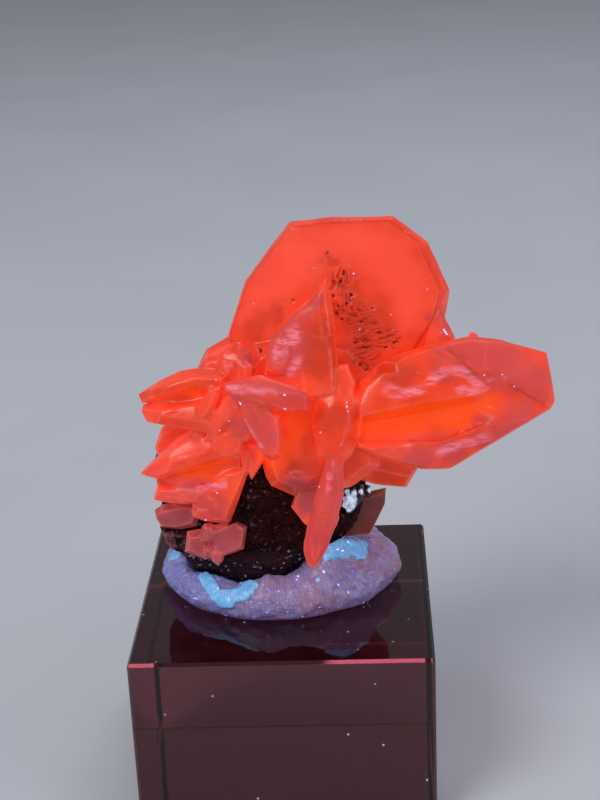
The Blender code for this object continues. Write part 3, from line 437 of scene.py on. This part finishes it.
def rock_skin(material):
    """The matrix: broken grains and crumbs over the rock's faces."""
    bm = merged_copy("matrix_rock")
    split_to(bm, 0.32 * MM)
    relax(bm, bm.verts[:], 1)
    bm.normal_update()
    weathered = patch_layer(in_millimetres(bm, 0.7), len(bm.verts), WEATHERED)
    moves = []
    hollow = []
    for v in bm.verts:
        place = v.co / MM
        grain = noise.voronoi((place + noise.noise_vector(place / 0.8) * 0.3) / 0.9)[0][0]
        rough = noise.fractal(place / 0.75, 0.6, 2.1, 4)
        height = -0.05 - 0.18 * grain + 0.17 * rough + 0.3 * noise.noise(place / 2.6)
        moves.append(v.normal * (height * MM))
        # Painted shade: the deeper the ground between grains, the darker it is painted
        hollow.append(smooth_step(0.05, -0.4, height))
    for v, move in zip(bm.verts, moves):
        v.co += move
    # Painted light: the rock's lower part is painted lighter and greyer, with more painted glints
    low = [smooth_step(29.0, 24.5, v.co.z / MM) for v in bm.verts]
    layers = {"hollow": hollow, "weathered": weathered, "low": low}
    return as_piece(bm, "matrix_rock_skin", "matrix_rock", material, layers)


# Where the putty is kneaded into ribs
KNEADED = [(8.0, -1.0, 23.6, 3.6), (10.0, 2.0, 23.0, 4.0), (6.0, -3.4, 23.6, 2.6), (-10.0, -3.0, 22.6, 3.0)]
# The raised smears of lighter putty along the rock
SMEARS = (
    along([(-8.6, -3.6, 23.6), (-8.0, -4.9, 23.1), (-7.0, -6.0, 22.7)], 0.9)
    + along([(-7.0, -6.0, 22.7), (-5.8, -6.7, 22.6), (-4.6, -6.9, 23.2), (-3.7, -6.2, 23.9)], 1.15)
    + along([(5.0, -3.5, 26.0), (6.8, -3.0, 26.8), (8.4, -2.2, 26.4), (9.2, 0.0, 26.0)], 1.2)
    + along([(6.4, -3.2, 25.6), (7.6, -2.8, 25.8), (8.6, -2.2, 25.6)], 1.0)
    + along([(-12.6, 1.4, 23.8), (-12.2, 3.0, 24.2)], 1.1)
    + [(4.2, -6.0, 24.0, 0.5)]
)
TACK_MIDDLE = (-0.4, 3.0)


def tack_skin(material):
    """The putty: folds pressed in by fingers, fine ribs, and the blue-white smears along the rock."""
    bm = merged_copy("mineral_tack")
    split_to(bm, 0.7 * MM)
    relax(bm, [v for v in bm.verts if v.co.z > 20.3 * MM], 3)
    split_to(bm, 0.42 * MM)
    relax(bm, [v for v in bm.verts if v.co.z > 20.3 * MM], 2)
    refine_near(bm, SMEARS + KNEADED, 0.26 * MM, 1)
    bm.normal_update()
    smears = patch_layer(in_millimetres(bm, 0.5), len(bm.verts), SMEARS)
    kneaded = patch_layer(in_millimetres(bm), len(bm.verts), KNEADED)
    moves = []
    layers = {"smear": [], "cool": [], "around": []}
    for v, share, ribbed in zip(bm.verts, smears, kneaded):
        place = v.co / MM
        around = 11.0 * math.atan2(place.y - TACK_MIDDLE[1], place.x - TACK_MIDDLE[0])
        low = smooth_step(20.05, 20.9, place.z)
        ribs = noise.noise(Vector((around / 0.9, place.z / 3.4, 0.0)))
        folds = abs(noise.noise(Vector((around / 1.8, place.z / 0.9, place.length / 4.0))))
        lumps = 0.26 * noise.noise(place / 1.5) + 0.16 * noise.noise(place / 0.75)
        smear = smooth_step(0.2, 0.6, share)
        crimps = 0.08 * noise.noise(place / 0.5) + 0.05 * noise.noise(Vector((around / 0.35, 0.0, 0.0)))
        pleats = abs(noise.noise(Vector((around / 0.7, place.z / 2.6, 3.0)))) - 0.2
        height = 0.12 * ribs + lumps - 0.4 * (0.25 - folds) * smooth_step(21.4, 23.0, place.z) - 0.05
        height -= 0.6 * pleats * smooth_step(0.0, 0.6, ribbed)
        height = height * (1 - 0.6 * smear) + smear * (0.2 + crimps)
        moves.append(v.normal * (low * height * MM))
        layers["smear"].append(share)
        layers["cool"].append(smooth_step(4.0, -12.0, place.x))
        layers["around"].append(around)
    for v, move in zip(bm.verts, moves):
        v.co += move
    return as_piece(bm, "mineral_tack_skin", "mineral_tack", material, layers)


# The druse's white blades; what lies between them is dark crust
WHITE_BLADES = [
    (7.4, -2.7, 31.6, 1.3), (7.2, -2.5, 32.9, 0.5), (8.0, -2.4, 32.7, 0.5), (8.7, -2.0, 32.6, 0.5),
    (9.5, -1.4, 32.5, 0.5), (6.4, -3.0, 31.2, 0.6),
]


def druse_skin(material):
    """The patch of white druse: small crystals with uneven faces on a dark crust."""
    bm = merged_copy("white_druse")
    split_to(bm, 0.16 * MM)
    bm.normal_update()
    white = patch_layer(in_millimetres(bm, 0.2), len(bm.verts), WHITE_BLADES)
    for v in bm.verts:
        v.co -= v.normal * (0.03 * MM)
    layers = {"white": [smooth_step(0.05, 0.3, share) for share in white]}
    return as_piece(bm, "white_druse_skin", "white_druse", material, layers, False)


# The materials


def painted(tree, ground, coats):
    """A ground colour under coats that are laid on in turn, each with its mask, its greatest share and its colour."""
    for mask, share, colour in coats:
        cover = add(tree, "ShaderNodeMath", {"operation": "MULTIPLY"}, {1: share}, {0: mask})
        coat = add(tree, "ShaderNodeMix", {"data_type": "RGBA"}, {7: linear(colour)}, {0: cover.outputs[0], 6: ground})
        ground = coat.outputs[2]
    return ground


def calcite(name, ramp, thin_glow_colour, painted_glow_strength, coat, rim_highlight_share):
    """Manganese-bearing calcite, grown as thick discs: a glassy lustre over a clouded body with a painted glow from
    within.
    """
    material, tree, output, place = new_material(name)
    mask = {
        name: add(tree, "ShaderNodeAttribute", {"attribute_name": name}).outputs["Fac"]
        for name in (
            "rim", "seam", "thin", "milk", "frost", "glow", "shade", "dull", "blush", "plates", "scratch", "pit",
            "crease", "glint",
        )
    }
    # Clouds in the crystal are some 4 mm across
    clouds = add(
        tree, "ShaderNodeTexNoise", values={"Scale": 0.26, "Detail": 4.0, "Roughness": 0.5}, links={"Vector": place}
    )
    body = add(
        tree, "ShaderNodeValToRGB", {"ramp": [(at, linear(tone)) for at, tone in ramp]},
        links={"Fac": clouds.outputs["Fac"]},
    )
    # Veils of tiny bubbles gather in streaks about 0.5 mm high and 2 mm long
    lying = add(tree, "ShaderNodeMapping", values={"Scale": (0.55, 1.0, 2.6)}, links={"Vector": place})
    streaks = add(
        tree, "ShaderNodeTexNoise", values={"Scale": 1.0, "Detail": 5.0, "Roughness": 0.6, "Distortion": 0.5},
        links={"Vector": lying.outputs[0]},
    )
    gathered = add(
        tree, "ShaderNodeMapRange", values={"From Min": 0.36, "From Max": 0.6}, links={"Value": streaks.outputs["Fac"]}
    )
    veil = add(
        tree, "ShaderNodeMath", {"operation": "MULTIPLY"}, links={0: mask["milk"], 1: gathered.outputs[0]}
    ).outputs[0]
    uneven = add(
        tree, "ShaderNodeMapRange", values={"From Min": 0.3, "From Max": 0.6, "To Min": 0.55},
        links={"Value": streaks.outputs["Fac"]},
    ).outputs[0]
    frosted = add(tree, "ShaderNodeMath", {"operation": "MULTIPLY"}, links={0: mask["frost"], 1: uneven}).outputs[0]
    # Painted shade darkens the creases where two crystals meet, but not in the zones of painted orange glow
    dim = add(tree, "ShaderNodeMath", {"operation": "SUBTRACT"}, {0: 1.0}, {1: mask["glow"]})
    seam = add(tree, "ShaderNodeMath", {"operation": "MULTIPLY"}, links={0: mask["seam"], 1: dim.outputs[0]}).outputs[0]
    painted_glint_core = add(tree, "ShaderNodeMapRange", values={"From Min": 0.4, "From Max": 0.9}, links={"Value": mask["glint"]})
    colour = painted(tree, body.outputs["Color"], [
        # Painted glow on the thin parts
        (mask["thin"], 0.4, thin_glow_colour),
        (mask["blush"], 0.7, "#f24c36"),
        # Painted shade
        (mask["shade"], 0.75, "#c0300e"),
        (frosted, 0.7, "#b23c44"),
        (mask["dull"], 0.7, "#903c42"),
        # Painted orange glow
        (mask["glow"], 0.9, "#f24800"),
        (mask["plates"], 0.55, "#ee3e08"),
        (gathered.outputs[0], 0.03, "#e08088"),
        (veil, 0.72, "#ee8498"),
        (seam, 0.45, "#a4200a"),
        # Painted highlight along the outer edges
        (mask["rim"], rim_highlight_share, "#ff8a7c"),
        # Painted shade in the barrel's creases
        (mask["crease"], 0.6, "#a02412"),
        (mask["scratch"], 0.8, "#962006"),
        # Painted shade darkens the pits
        (mask["pit"], 0.88, "#641206"),
        # Painted glints: a violet halo round a white core
        (mask["glint"], 0.7, "#d888e0"),
        (painted_glint_core.outputs[0], 1.0, "#f2eaff"),
    ])
    # Etch grain is 0.1 to 0.2 mm; at 0.3 mm it just shows in the render
    grain = add(tree, "ShaderNodeTexNoise", values={"Scale": 3.4, "Detail": 3.0}, links={"Vector": place})
    bump = add(
        tree, "ShaderNodeBump", values={"Strength": 0.25, "Distance": 0.00006}, links={"Height": grain.outputs["Fac"]}
    )
    dulled = add(tree, "ShaderNodeMath", {"operation": "MAXIMUM"}, links={0: frosted, 1: veil})
    rough = add(
        tree, "ShaderNodeMapRange", values={"To Min": 0.3, "To Max": 0.5}, links={"Value": dulled.outputs[0]}
    )
    # Painted glow: the colour is also given off as light, so the crystal glows though it is no lamp
    shader = add(
        tree, "ShaderNodeBsdfPrincipled",
        values={
            "IOR": 1.6, "Specular IOR Level": 0.28, "Subsurface Weight": 0.3, "Subsurface Radius": (1.0, 0.22, 0.12),
            "Subsurface Scale": 0.0028, "Coat Weight": coat, "Coat Roughness": 0.12,
            "Emission Strength": painted_glow_strength,
        },
        links={"Base Color": colour, "Emission Color": colour, "Roughness": rough.outputs[0], "Normal": bump.outputs[0]},
    )
    tree.links.new(shader.outputs[0], output.inputs["Surface"])
    return material


def sparry_rock():
    """Dark sparry limestone, broken by hand: near-black grains with a red cast of painted light from the calcite, and
    painted cleavage glints.
    """
    material, tree, output, place = new_material("broken_dark_limestone")
    mask = {
        name: add(tree, "ShaderNodeAttribute", {"attribute_name": name}).outputs["Fac"]
        for name in ("hollow", "weathered", "low")
    }
    # Grains are about 0.5 mm
    grains = add(tree, "ShaderNodeTexVoronoi", values={"Scale": 2.0, "Randomness": 1.0}, links={"Vector": place})
    # Painted light: the near-black grains carry a red cast from the calcite's glow
    grain_tone = add(
        tree, "ShaderNodeValToRGB",
        {"ramp": [(0.0, linear("#200203")), (0.6, linear("#300406")), (0.85, linear("#3c080a")), (0.97, linear("#50181c"))]},
        links={"Fac": grains.outputs["Color"]},
    )
    # Painted glints: pale single crumbs of 0.3 mm, standing in for cleavage highlights
    crumbs = add(tree, "ShaderNodeTexVoronoi", values={"Scale": 3.4}, links={"Vector": place})
    glint = add(
        tree, "ShaderNodeMapRange", values={"From Min": 0.83, "From Max": 0.87},
        links={"Value": crumbs.outputs["Color"]},
    ).outputs[0]
    # More painted glints lower down
    often = add(
        tree, "ShaderNodeMapRange", values={"To Min": 0.15}, links={"Value": mask["low"]}
    )
    painted_shine = add(
        tree, "ShaderNodeMath", {"operation": "MULTIPLY"}, links={0: glint, 1: often.outputs[0]}
    ).outputs[0]
    stain = add(tree, "ShaderNodeTexNoise", values={"Scale": 0.9, "Detail": 5.0}, links={"Vector": place})
    ragged = add(
        tree, "ShaderNodeMapRange", values={"From Min": 0.42, "From Max": 0.6}, links={"Value": stain.outputs["Fac"]}
    )
    brown = add(
        tree, "ShaderNodeMath", {"operation": "MULTIPLY"}, links={0: mask["weathered"], 1: ragged.outputs[0]}
    )
    colour = painted(tree, grain_tone.outputs["Color"], [
        # Painted shade in the hollows
        (mask["hollow"], 0.6, "#0c0102"),
        # Painted light on the lower part
        (mask["low"], 0.5, "#38262e"),
        (brown.outputs[0], 0.9, "#a8646e"),
        (painted_shine, 0.9, "#a89cae"),
    ])
    rough = add(tree, "ShaderNodeMapRange", values={"To Min": 0.6, "To Max": 0.14}, links={"Value": glint})
    bump = add(
        tree, "ShaderNodeBump", values={"Strength": 0.9, "Distance": 0.0002},
        links={"Height": crumbs.outputs["Distance"]},
    )
    shader = add(
        tree, "ShaderNodeBsdfPrincipled", values={"IOR": 1.56, "Specular IOR Level": 0.09},
        links={"Base Color": colour, "Roughness": rough.outputs[0], "Normal": bump.outputs["Normal"]},
    )
    tree.links.new(shader.outputs[0], output.inputs["Surface"])
    return material


def putty():
    """Oil-bound modelling putty, kneaded by hand: lilac with a moist sheen, painted sparkles where grains catch the
    light, and a painted glow.
    """
    material, tree, output, place = new_material("kneaded_lilac_putty")
    mask = {
        name: add(tree, "ShaderNodeAttribute", {"attribute_name": name}).outputs["Fac"]
        for name in ("smear", "cool", "around")
    }
    clouds = add(tree, "ShaderNodeTexNoise", values={"Scale": 0.35, "Detail": 5.0}, links={"Vector": place})
    body = add(
        tree, "ShaderNodeValToRGB",
        {"ramp": [(0.34, linear("#a87688")), (0.5, linear("#a284a8")), (0.66, linear("#a094c8"))]},
        links={"Fac": clouds.outputs["Fac"]},
    )
    # Fine upright ribs about 0.4 mm apart, left by kneading
    height = add(tree, "ShaderNodeSeparateXYZ", links={"Vector": place}).outputs["Z"]
    unrolled = add(tree, "ShaderNodeCombineXYZ", links={"X": mask["around"], "Y": height})
    upright = add(tree, "ShaderNodeMapping", values={"Scale": (2.6, 0.4, 1.0)}, links={"Vector": unrolled.outputs[0]})
    ribs = add(
        tree, "ShaderNodeTexNoise", values={"Scale": 1.0, "Detail": 3.0, "Roughness": 0.6, "Distortion": 0.4},
        links={"Vector": upright.outputs[0]},
    ).outputs["Fac"]
    rib_tops = add(tree, "ShaderNodeMapRange", values={"From Min": 0.45, "From Max": 0.65}, links={"Value": ribs})
    # The smears end in shreds about 0.3 mm wide
    shreds = add(
        tree, "ShaderNodeTexNoise", values={"Scale": 1.6, "Detail": 4.0, "Roughness": 0.65}, links={"Vector": place}
    ).outputs["Fac"]
    torn = add(tree, "ShaderNodeMath", {"operation": "MULTIPLY_ADD"}, {1: 1.8}, {0: shreds, 2: mask["smear"]})
    smear = add(
        tree, "ShaderNodeMapRange", values={"From Min": 1.2, "From Max": 1.34}, links={"Value": torn.outputs[0]}
    ).outputs[0]
    # Grains are drawn out a little by the kneading
    jolt = add(tree, "ShaderNodeTexNoise", values={"Scale": 2.2, "Detail": 1.0}, links={"Vector": place})
    drawn = add(
        tree, "ShaderNodeVectorMath", {"operation": "MULTIPLY_ADD"}, {1: (0.5, 0.5, 0.5)},
        {0: jolt.outputs["Color"], 2: place},
    ).outputs[0]
    # Painted sparkles, highlights on grains of 0.1 to 0.3 mm: pale ones 0.4 mm apart, and larger blue ones 1 mm apart
    painted_sparkles = []
    for scale, size, rarest in ((2.8, 0.17, 0.45), (1.05, 0.13, 0.42), (1.05, 0.07, 0.42)):
        grains = add(tree, "ShaderNodeTexVoronoi", values={"Scale": scale}, links={"Vector": drawn})
        spots = add(
            tree, "ShaderNodeMapRange", values={"From Min": 1.6 * size, "From Max": size},
            links={"Value": grains.outputs["Distance"]},
        )
        chosen = add(
            tree, "ShaderNodeMapRange", values={"From Min": rarest, "From Max": rarest + 0.06},
            links={"Value": grains.outputs["Color"]},
        )
        both = add(
            tree, "ShaderNodeMath", {"operation": "MULTIPLY"}, links={0: spots.outputs[0], 1: chosen.outputs[0]}
        )
        painted_sparkles.append(both.outputs[0])
    bright_shreds = add(
        tree, "ShaderNodeMapRange", values={"From Min": 0.5, "From Max": 0.62}, links={"Value": shreds}
    )
    pale_shreds = add(
        tree, "ShaderNodeMath", {"operation": "MULTIPLY"}, links={0: smear, 1: bright_shreds.outputs[0]}
    ).outputs[0]
    colour = painted(tree, body.outputs["Color"], [
        (mask["cool"], 0.6, "#7888d8"),
        (rib_tops.outputs[0], 0.35, "#b8b0d8"),
        (smear, 1.0, "#7cc4ee"),
        (pale_shreds, 0.6, "#b4e4fa"),
        (painted_sparkles[0], 0.6, "#c0c4f8"),
        (painted_sparkles[1], 0.9, "#8a86ff"),
        (painted_sparkles[2], 1.0, "#f4f0ff"),
    ])
    # Painted glow: the putty, most of all its smears, gives off light, with the painted sparkles on top
    glow = add(tree, "ShaderNodeMix", {"data_type": "RGBA"}, {6: linear("#181430"), 7: linear("#204c78")}, {0: smear})
    painted_light = painted(tree, glow.outputs[2], [
        (painted_sparkles[0], 0.4, "#6068d0"),
        (painted_sparkles[1], 0.8, "#6058f0"),
        (painted_sparkles[2], 1.0, "#e8e4ff"),
    ])
    crumbs = add(tree, "ShaderNodeTexNoise", values={"Scale": 3.0, "Detail": 4.0}, links={"Vector": place})
    skin = add(tree, "ShaderNodeMath", {"operation": "ADD"}, links={0: crumbs.outputs["Fac"], 1: ribs})
    bump = add(
        tree, "ShaderNodeBump", values={"Strength": 0.8, "Distance": 0.00018}, links={"Height": skin.outputs[0]}
    )
    shader = add(
        tree, "ShaderNodeBsdfPrincipled",
        values={
            "Roughness": 0.36, "IOR": 1.48, "Subsurface Weight": 0.25, "Subsurface Radius": (0.9, 0.8, 1.0),
            "Subsurface Scale": 0.0012, "Coat Weight": 0.25, "Coat Roughness": 0.2, "Emission Strength": 1.0,
        },
        links={"Base Color": colour, "Emission Color": painted_light, "Normal": bump.outputs["Normal"]},
    )
    tree.links.new(shader.outputs[0], output.inputs["Surface"])
    return material


def white_spar():
    """Fine white druse, grown as tiny blades: frosted, with a painted cold blue-white glow, on a dark crust."""
    material, tree, output, place = new_material("frosted_white_spar")
    blades = add(tree, "ShaderNodeAttribute", {"attribute_name": "white"})
    frost = add(tree, "ShaderNodeTexNoise", values={"Scale": 2.2, "Detail": 4.0}, links={"Vector": place})
    crust = add(
        tree, "ShaderNodeValToRGB", {"ramp": [(0.4, linear("#0c0506")), (0.7, linear("#2c1c22"))]},
        links={"Fac": frost.outputs["Fac"]},
    )
    cold = add(
        tree, "ShaderNodeValToRGB", {"ramp": [(0.35, linear("#84b0d4")), (0.6, linear("#e4f2ff"))]},
        links={"Fac": frost.outputs["Fac"]},
    )
    colour = add(
        tree, "ShaderNodeMix", {"data_type": "RGBA"},
        links={0: blades.outputs["Fac"], 6: crust.outputs["Color"], 7: cold.outputs["Color"]},
    ).outputs[2]
    # Painted glow: the druse gives off its own colour as light
    shader = add(
        tree, "ShaderNodeBsdfPrincipled",
        values={
            "Roughness": 0.4, "IOR": 1.6, "Subsurface Weight": 0.2, "Subsurface Scale": 0.0006,
            "Emission Strength": 0.35,
        },
        links={"Base Color": colour, "Emission Color": colour},
    )
    tree.links.new(shader.outputs[0], output.inputs["Surface"])
    return material


def acrylic():
    """Cast acrylic, diamond-polished: clear plum all through, with sharp reflections and a little dust on top."""
    material, tree, output, place = new_material("polished_plum_acrylic")
    # Dust specks of about 0.15 mm, a few to the square centimetre
    dust = add(tree, "ShaderNodeTexVoronoi", values={"Scale": 0.42}, links={"Vector": place})
    specks = add(
        tree, "ShaderNodeMapRange", values={"From Min": 0.07, "From Max": 0.04},
        links={"Value": dust.outputs["Distance"]},
    )
    haze = add(tree, "ShaderNodeTexNoise", values={"Scale": 0.3, "Detail": 6.0}, links={"Vector": place})
    rough = add(
        tree, "ShaderNodeMapRange", values={"From Min": 0.4, "From Max": 0.8, "To Min": 0.015, "To Max": 0.07},
        links={"Value": haze.outputs["Fac"]},
    )
    clear = add(
        tree, "ShaderNodeBsdfPrincipled",
        values={"Base Color": linear("#f4e8f0"), "IOR": 1.49, "Transmission Weight": 1.0},
        links={"Roughness": rough.outputs[0]},
    )
    white = add(tree, "ShaderNodeBsdfPrincipled", values={"Base Color": linear("#cfc8d8"), "Roughness": 0.7})
    both = add(tree, "ShaderNodeMixShader", links={0: specks.outputs[0], 1: clear.outputs[0], 2: white.outputs[0]})
    body = add(tree, "ShaderNodeVolumeAbsorption", values={"Color": linear("#bc305e"), "Density": 92.0})
    tree.links.new(both.outputs[0], output.inputs["Surface"])
    tree.links.new(body.outputs[0], output.inputs["Volume"])
    return material


# The studio


def pale_floor():
    mesh = bpy.data.meshes.new("studio_floor")
    bm = bmesh.new()
    bmesh.ops.create_grid(bm, x_segments=1, y_segments=1, size=3.0)
    bmesh.ops.translate(bm, vec=(0, 0, -0.0001), verts=bm.verts[:])
    bm.to_mesh(mesh)
    bm.free()
    floor = bpy.data.objects.new("studio_floor", mesh)
    bpy.context.scene.collection.objects.link(floor)
    material, tree, output, place = new_material("pale_paper_sweep")
    tone = add(tree, "ShaderNodeTexNoise", values={"Scale": 0.02}, links={"Vector": place})
    colour = add(
        tree, "ShaderNodeValToRGB", {"ramp": [(0.3, linear("#c9ccd2")), (0.7, linear("#ced1d6"))]},
        links={"Fac": tone.outputs["Fac"]},
    )
    paper = add(tree, "ShaderNodeBsdfPrincipled", values={"Roughness": 0.9}, links={"Base Color": colour.outputs["Color"]})
    tree.links.new(paper.outputs[0], output.inputs["Surface"])
    mesh.materials.append(material)


def soft_light(name, place, target, size, power, colour):
    lamp = bpy.data.lights.new(name, "AREA")
    lamp.shape = "DISK"
    lamp.size = size
    lamp.energy = power
    lamp.color = linear(colour)[:3]
    light = bpy.data.objects.new(name, lamp)
    light.location = place
    light.rotation_euler = (Vector(target) - Vector(place)).to_track_quat("-Z", "Y").to_euler()
    bpy.context.scene.collection.objects.link(light)


def studio():
    pale_floor()
    middle = (0.004, 0.0, 0.04)
    soft_light("key", (-0.25, -0.3, 0.42), middle, 0.28, 1.3, "#ffffff")
    soft_light("fill", (0.42, -0.22, 0.2), middle, 0.35, 0.6, "#f3f4ff")
    soft_light("back", (0.1, 0.25, 0.5), middle, 0.25, 0.7, "#eef2ff")
    world = bpy.data.worlds.new("studio_air")
    world.use_nodes = True
    air = world.node_tree.nodes["Background"]
    air.inputs["Color"].default_value = linear("#dfe4ee")
    air.inputs["Strength"].default_value = 0.3
    bpy.context.scene.world = world
    bpy.context.scene.view_settings.view_transform = "Standard"


def photo_camera():
    """The photograph's camera, worked out from the block's edges."""
    yaw, pitch, roll = -0.04762, 0.37487, -0.04368
    ahead = Vector((math.sin(yaw) * math.cos(pitch), math.cos(yaw) * math.cos(pitch), -math.sin(pitch)))
    level = Vector((math.cos(yaw), -math.sin(yaw), 0.0))
    above = level.cross(ahead)
    right = level * math.cos(roll) + above * math.sin(roll)
    up = above * math.cos(roll) - level * math.sin(roll)
    lens = bpy.data.cameras.new("camera")
    lens.lens = 72.32
    lens.sensor_width = 36.0
    lens.clip_start = 0.01
    camera = bpy.data.objects.new("camera", lens)
    turn = Matrix((right, up, -ahead)).transposed().to_4x4()
    camera.matrix_world = Matrix.Translation((0.0101, -0.16016, 0.10585)) @ turn
    bpy.context.scene.collection.objects.link(camera)
    bpy.context.scene.camera = camera


def main():
    red = ((0.36, "#d8340e"), (0.52, "#e43e1a"), (0.7, "#ea4a2c"))
    pink = ((0.36, "#92363e"), (0.52, "#a2424a"), (0.7, "#b0525a"))
    shaded_ramp = ((0.36, "#4a1610"), (0.52, "#66241c"), (0.7, "#74322a"))
    bright = calcite("vitreous_red_calcite", red, "#fc5a40", 0.42, 0.06, 0.2)
    muted = calcite("frosted_pink_calcite", pink, "#c0525a", 0.3, 0.05, 0.3)
    # Painted shade: a darker, dimmer copy of the same calcite, for the crystal at the back
    shaded_calcite = calcite("shaded_deep_red_calcite", shaded_ramp, "#8c3a30", 0.2, 0.08, 0.12)
    calcite_skin("calcite_cluster", "calcite_cluster_skin", bright, 0.95)
    calcite_skin("calcite_side_crystal", "calcite_side_crystal_skin", muted, 0.3)
    calcite_skin("calcite_foot_crystals", "calcite_foot_crystals_skin", muted, 0.3)
    calcite_skin("calcite_rear_crystal", "calcite_rear_crystal_skin", shaded_calcite, 0.3)
    rock_skin(sparry_rock())
    tack_skin(putty())
    druse_skin(white_spar())
    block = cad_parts["acrylic_block"].data
    block.materials.clear()
    block.materials.append(acrylic())
    studio()
    photo_camera()


main()
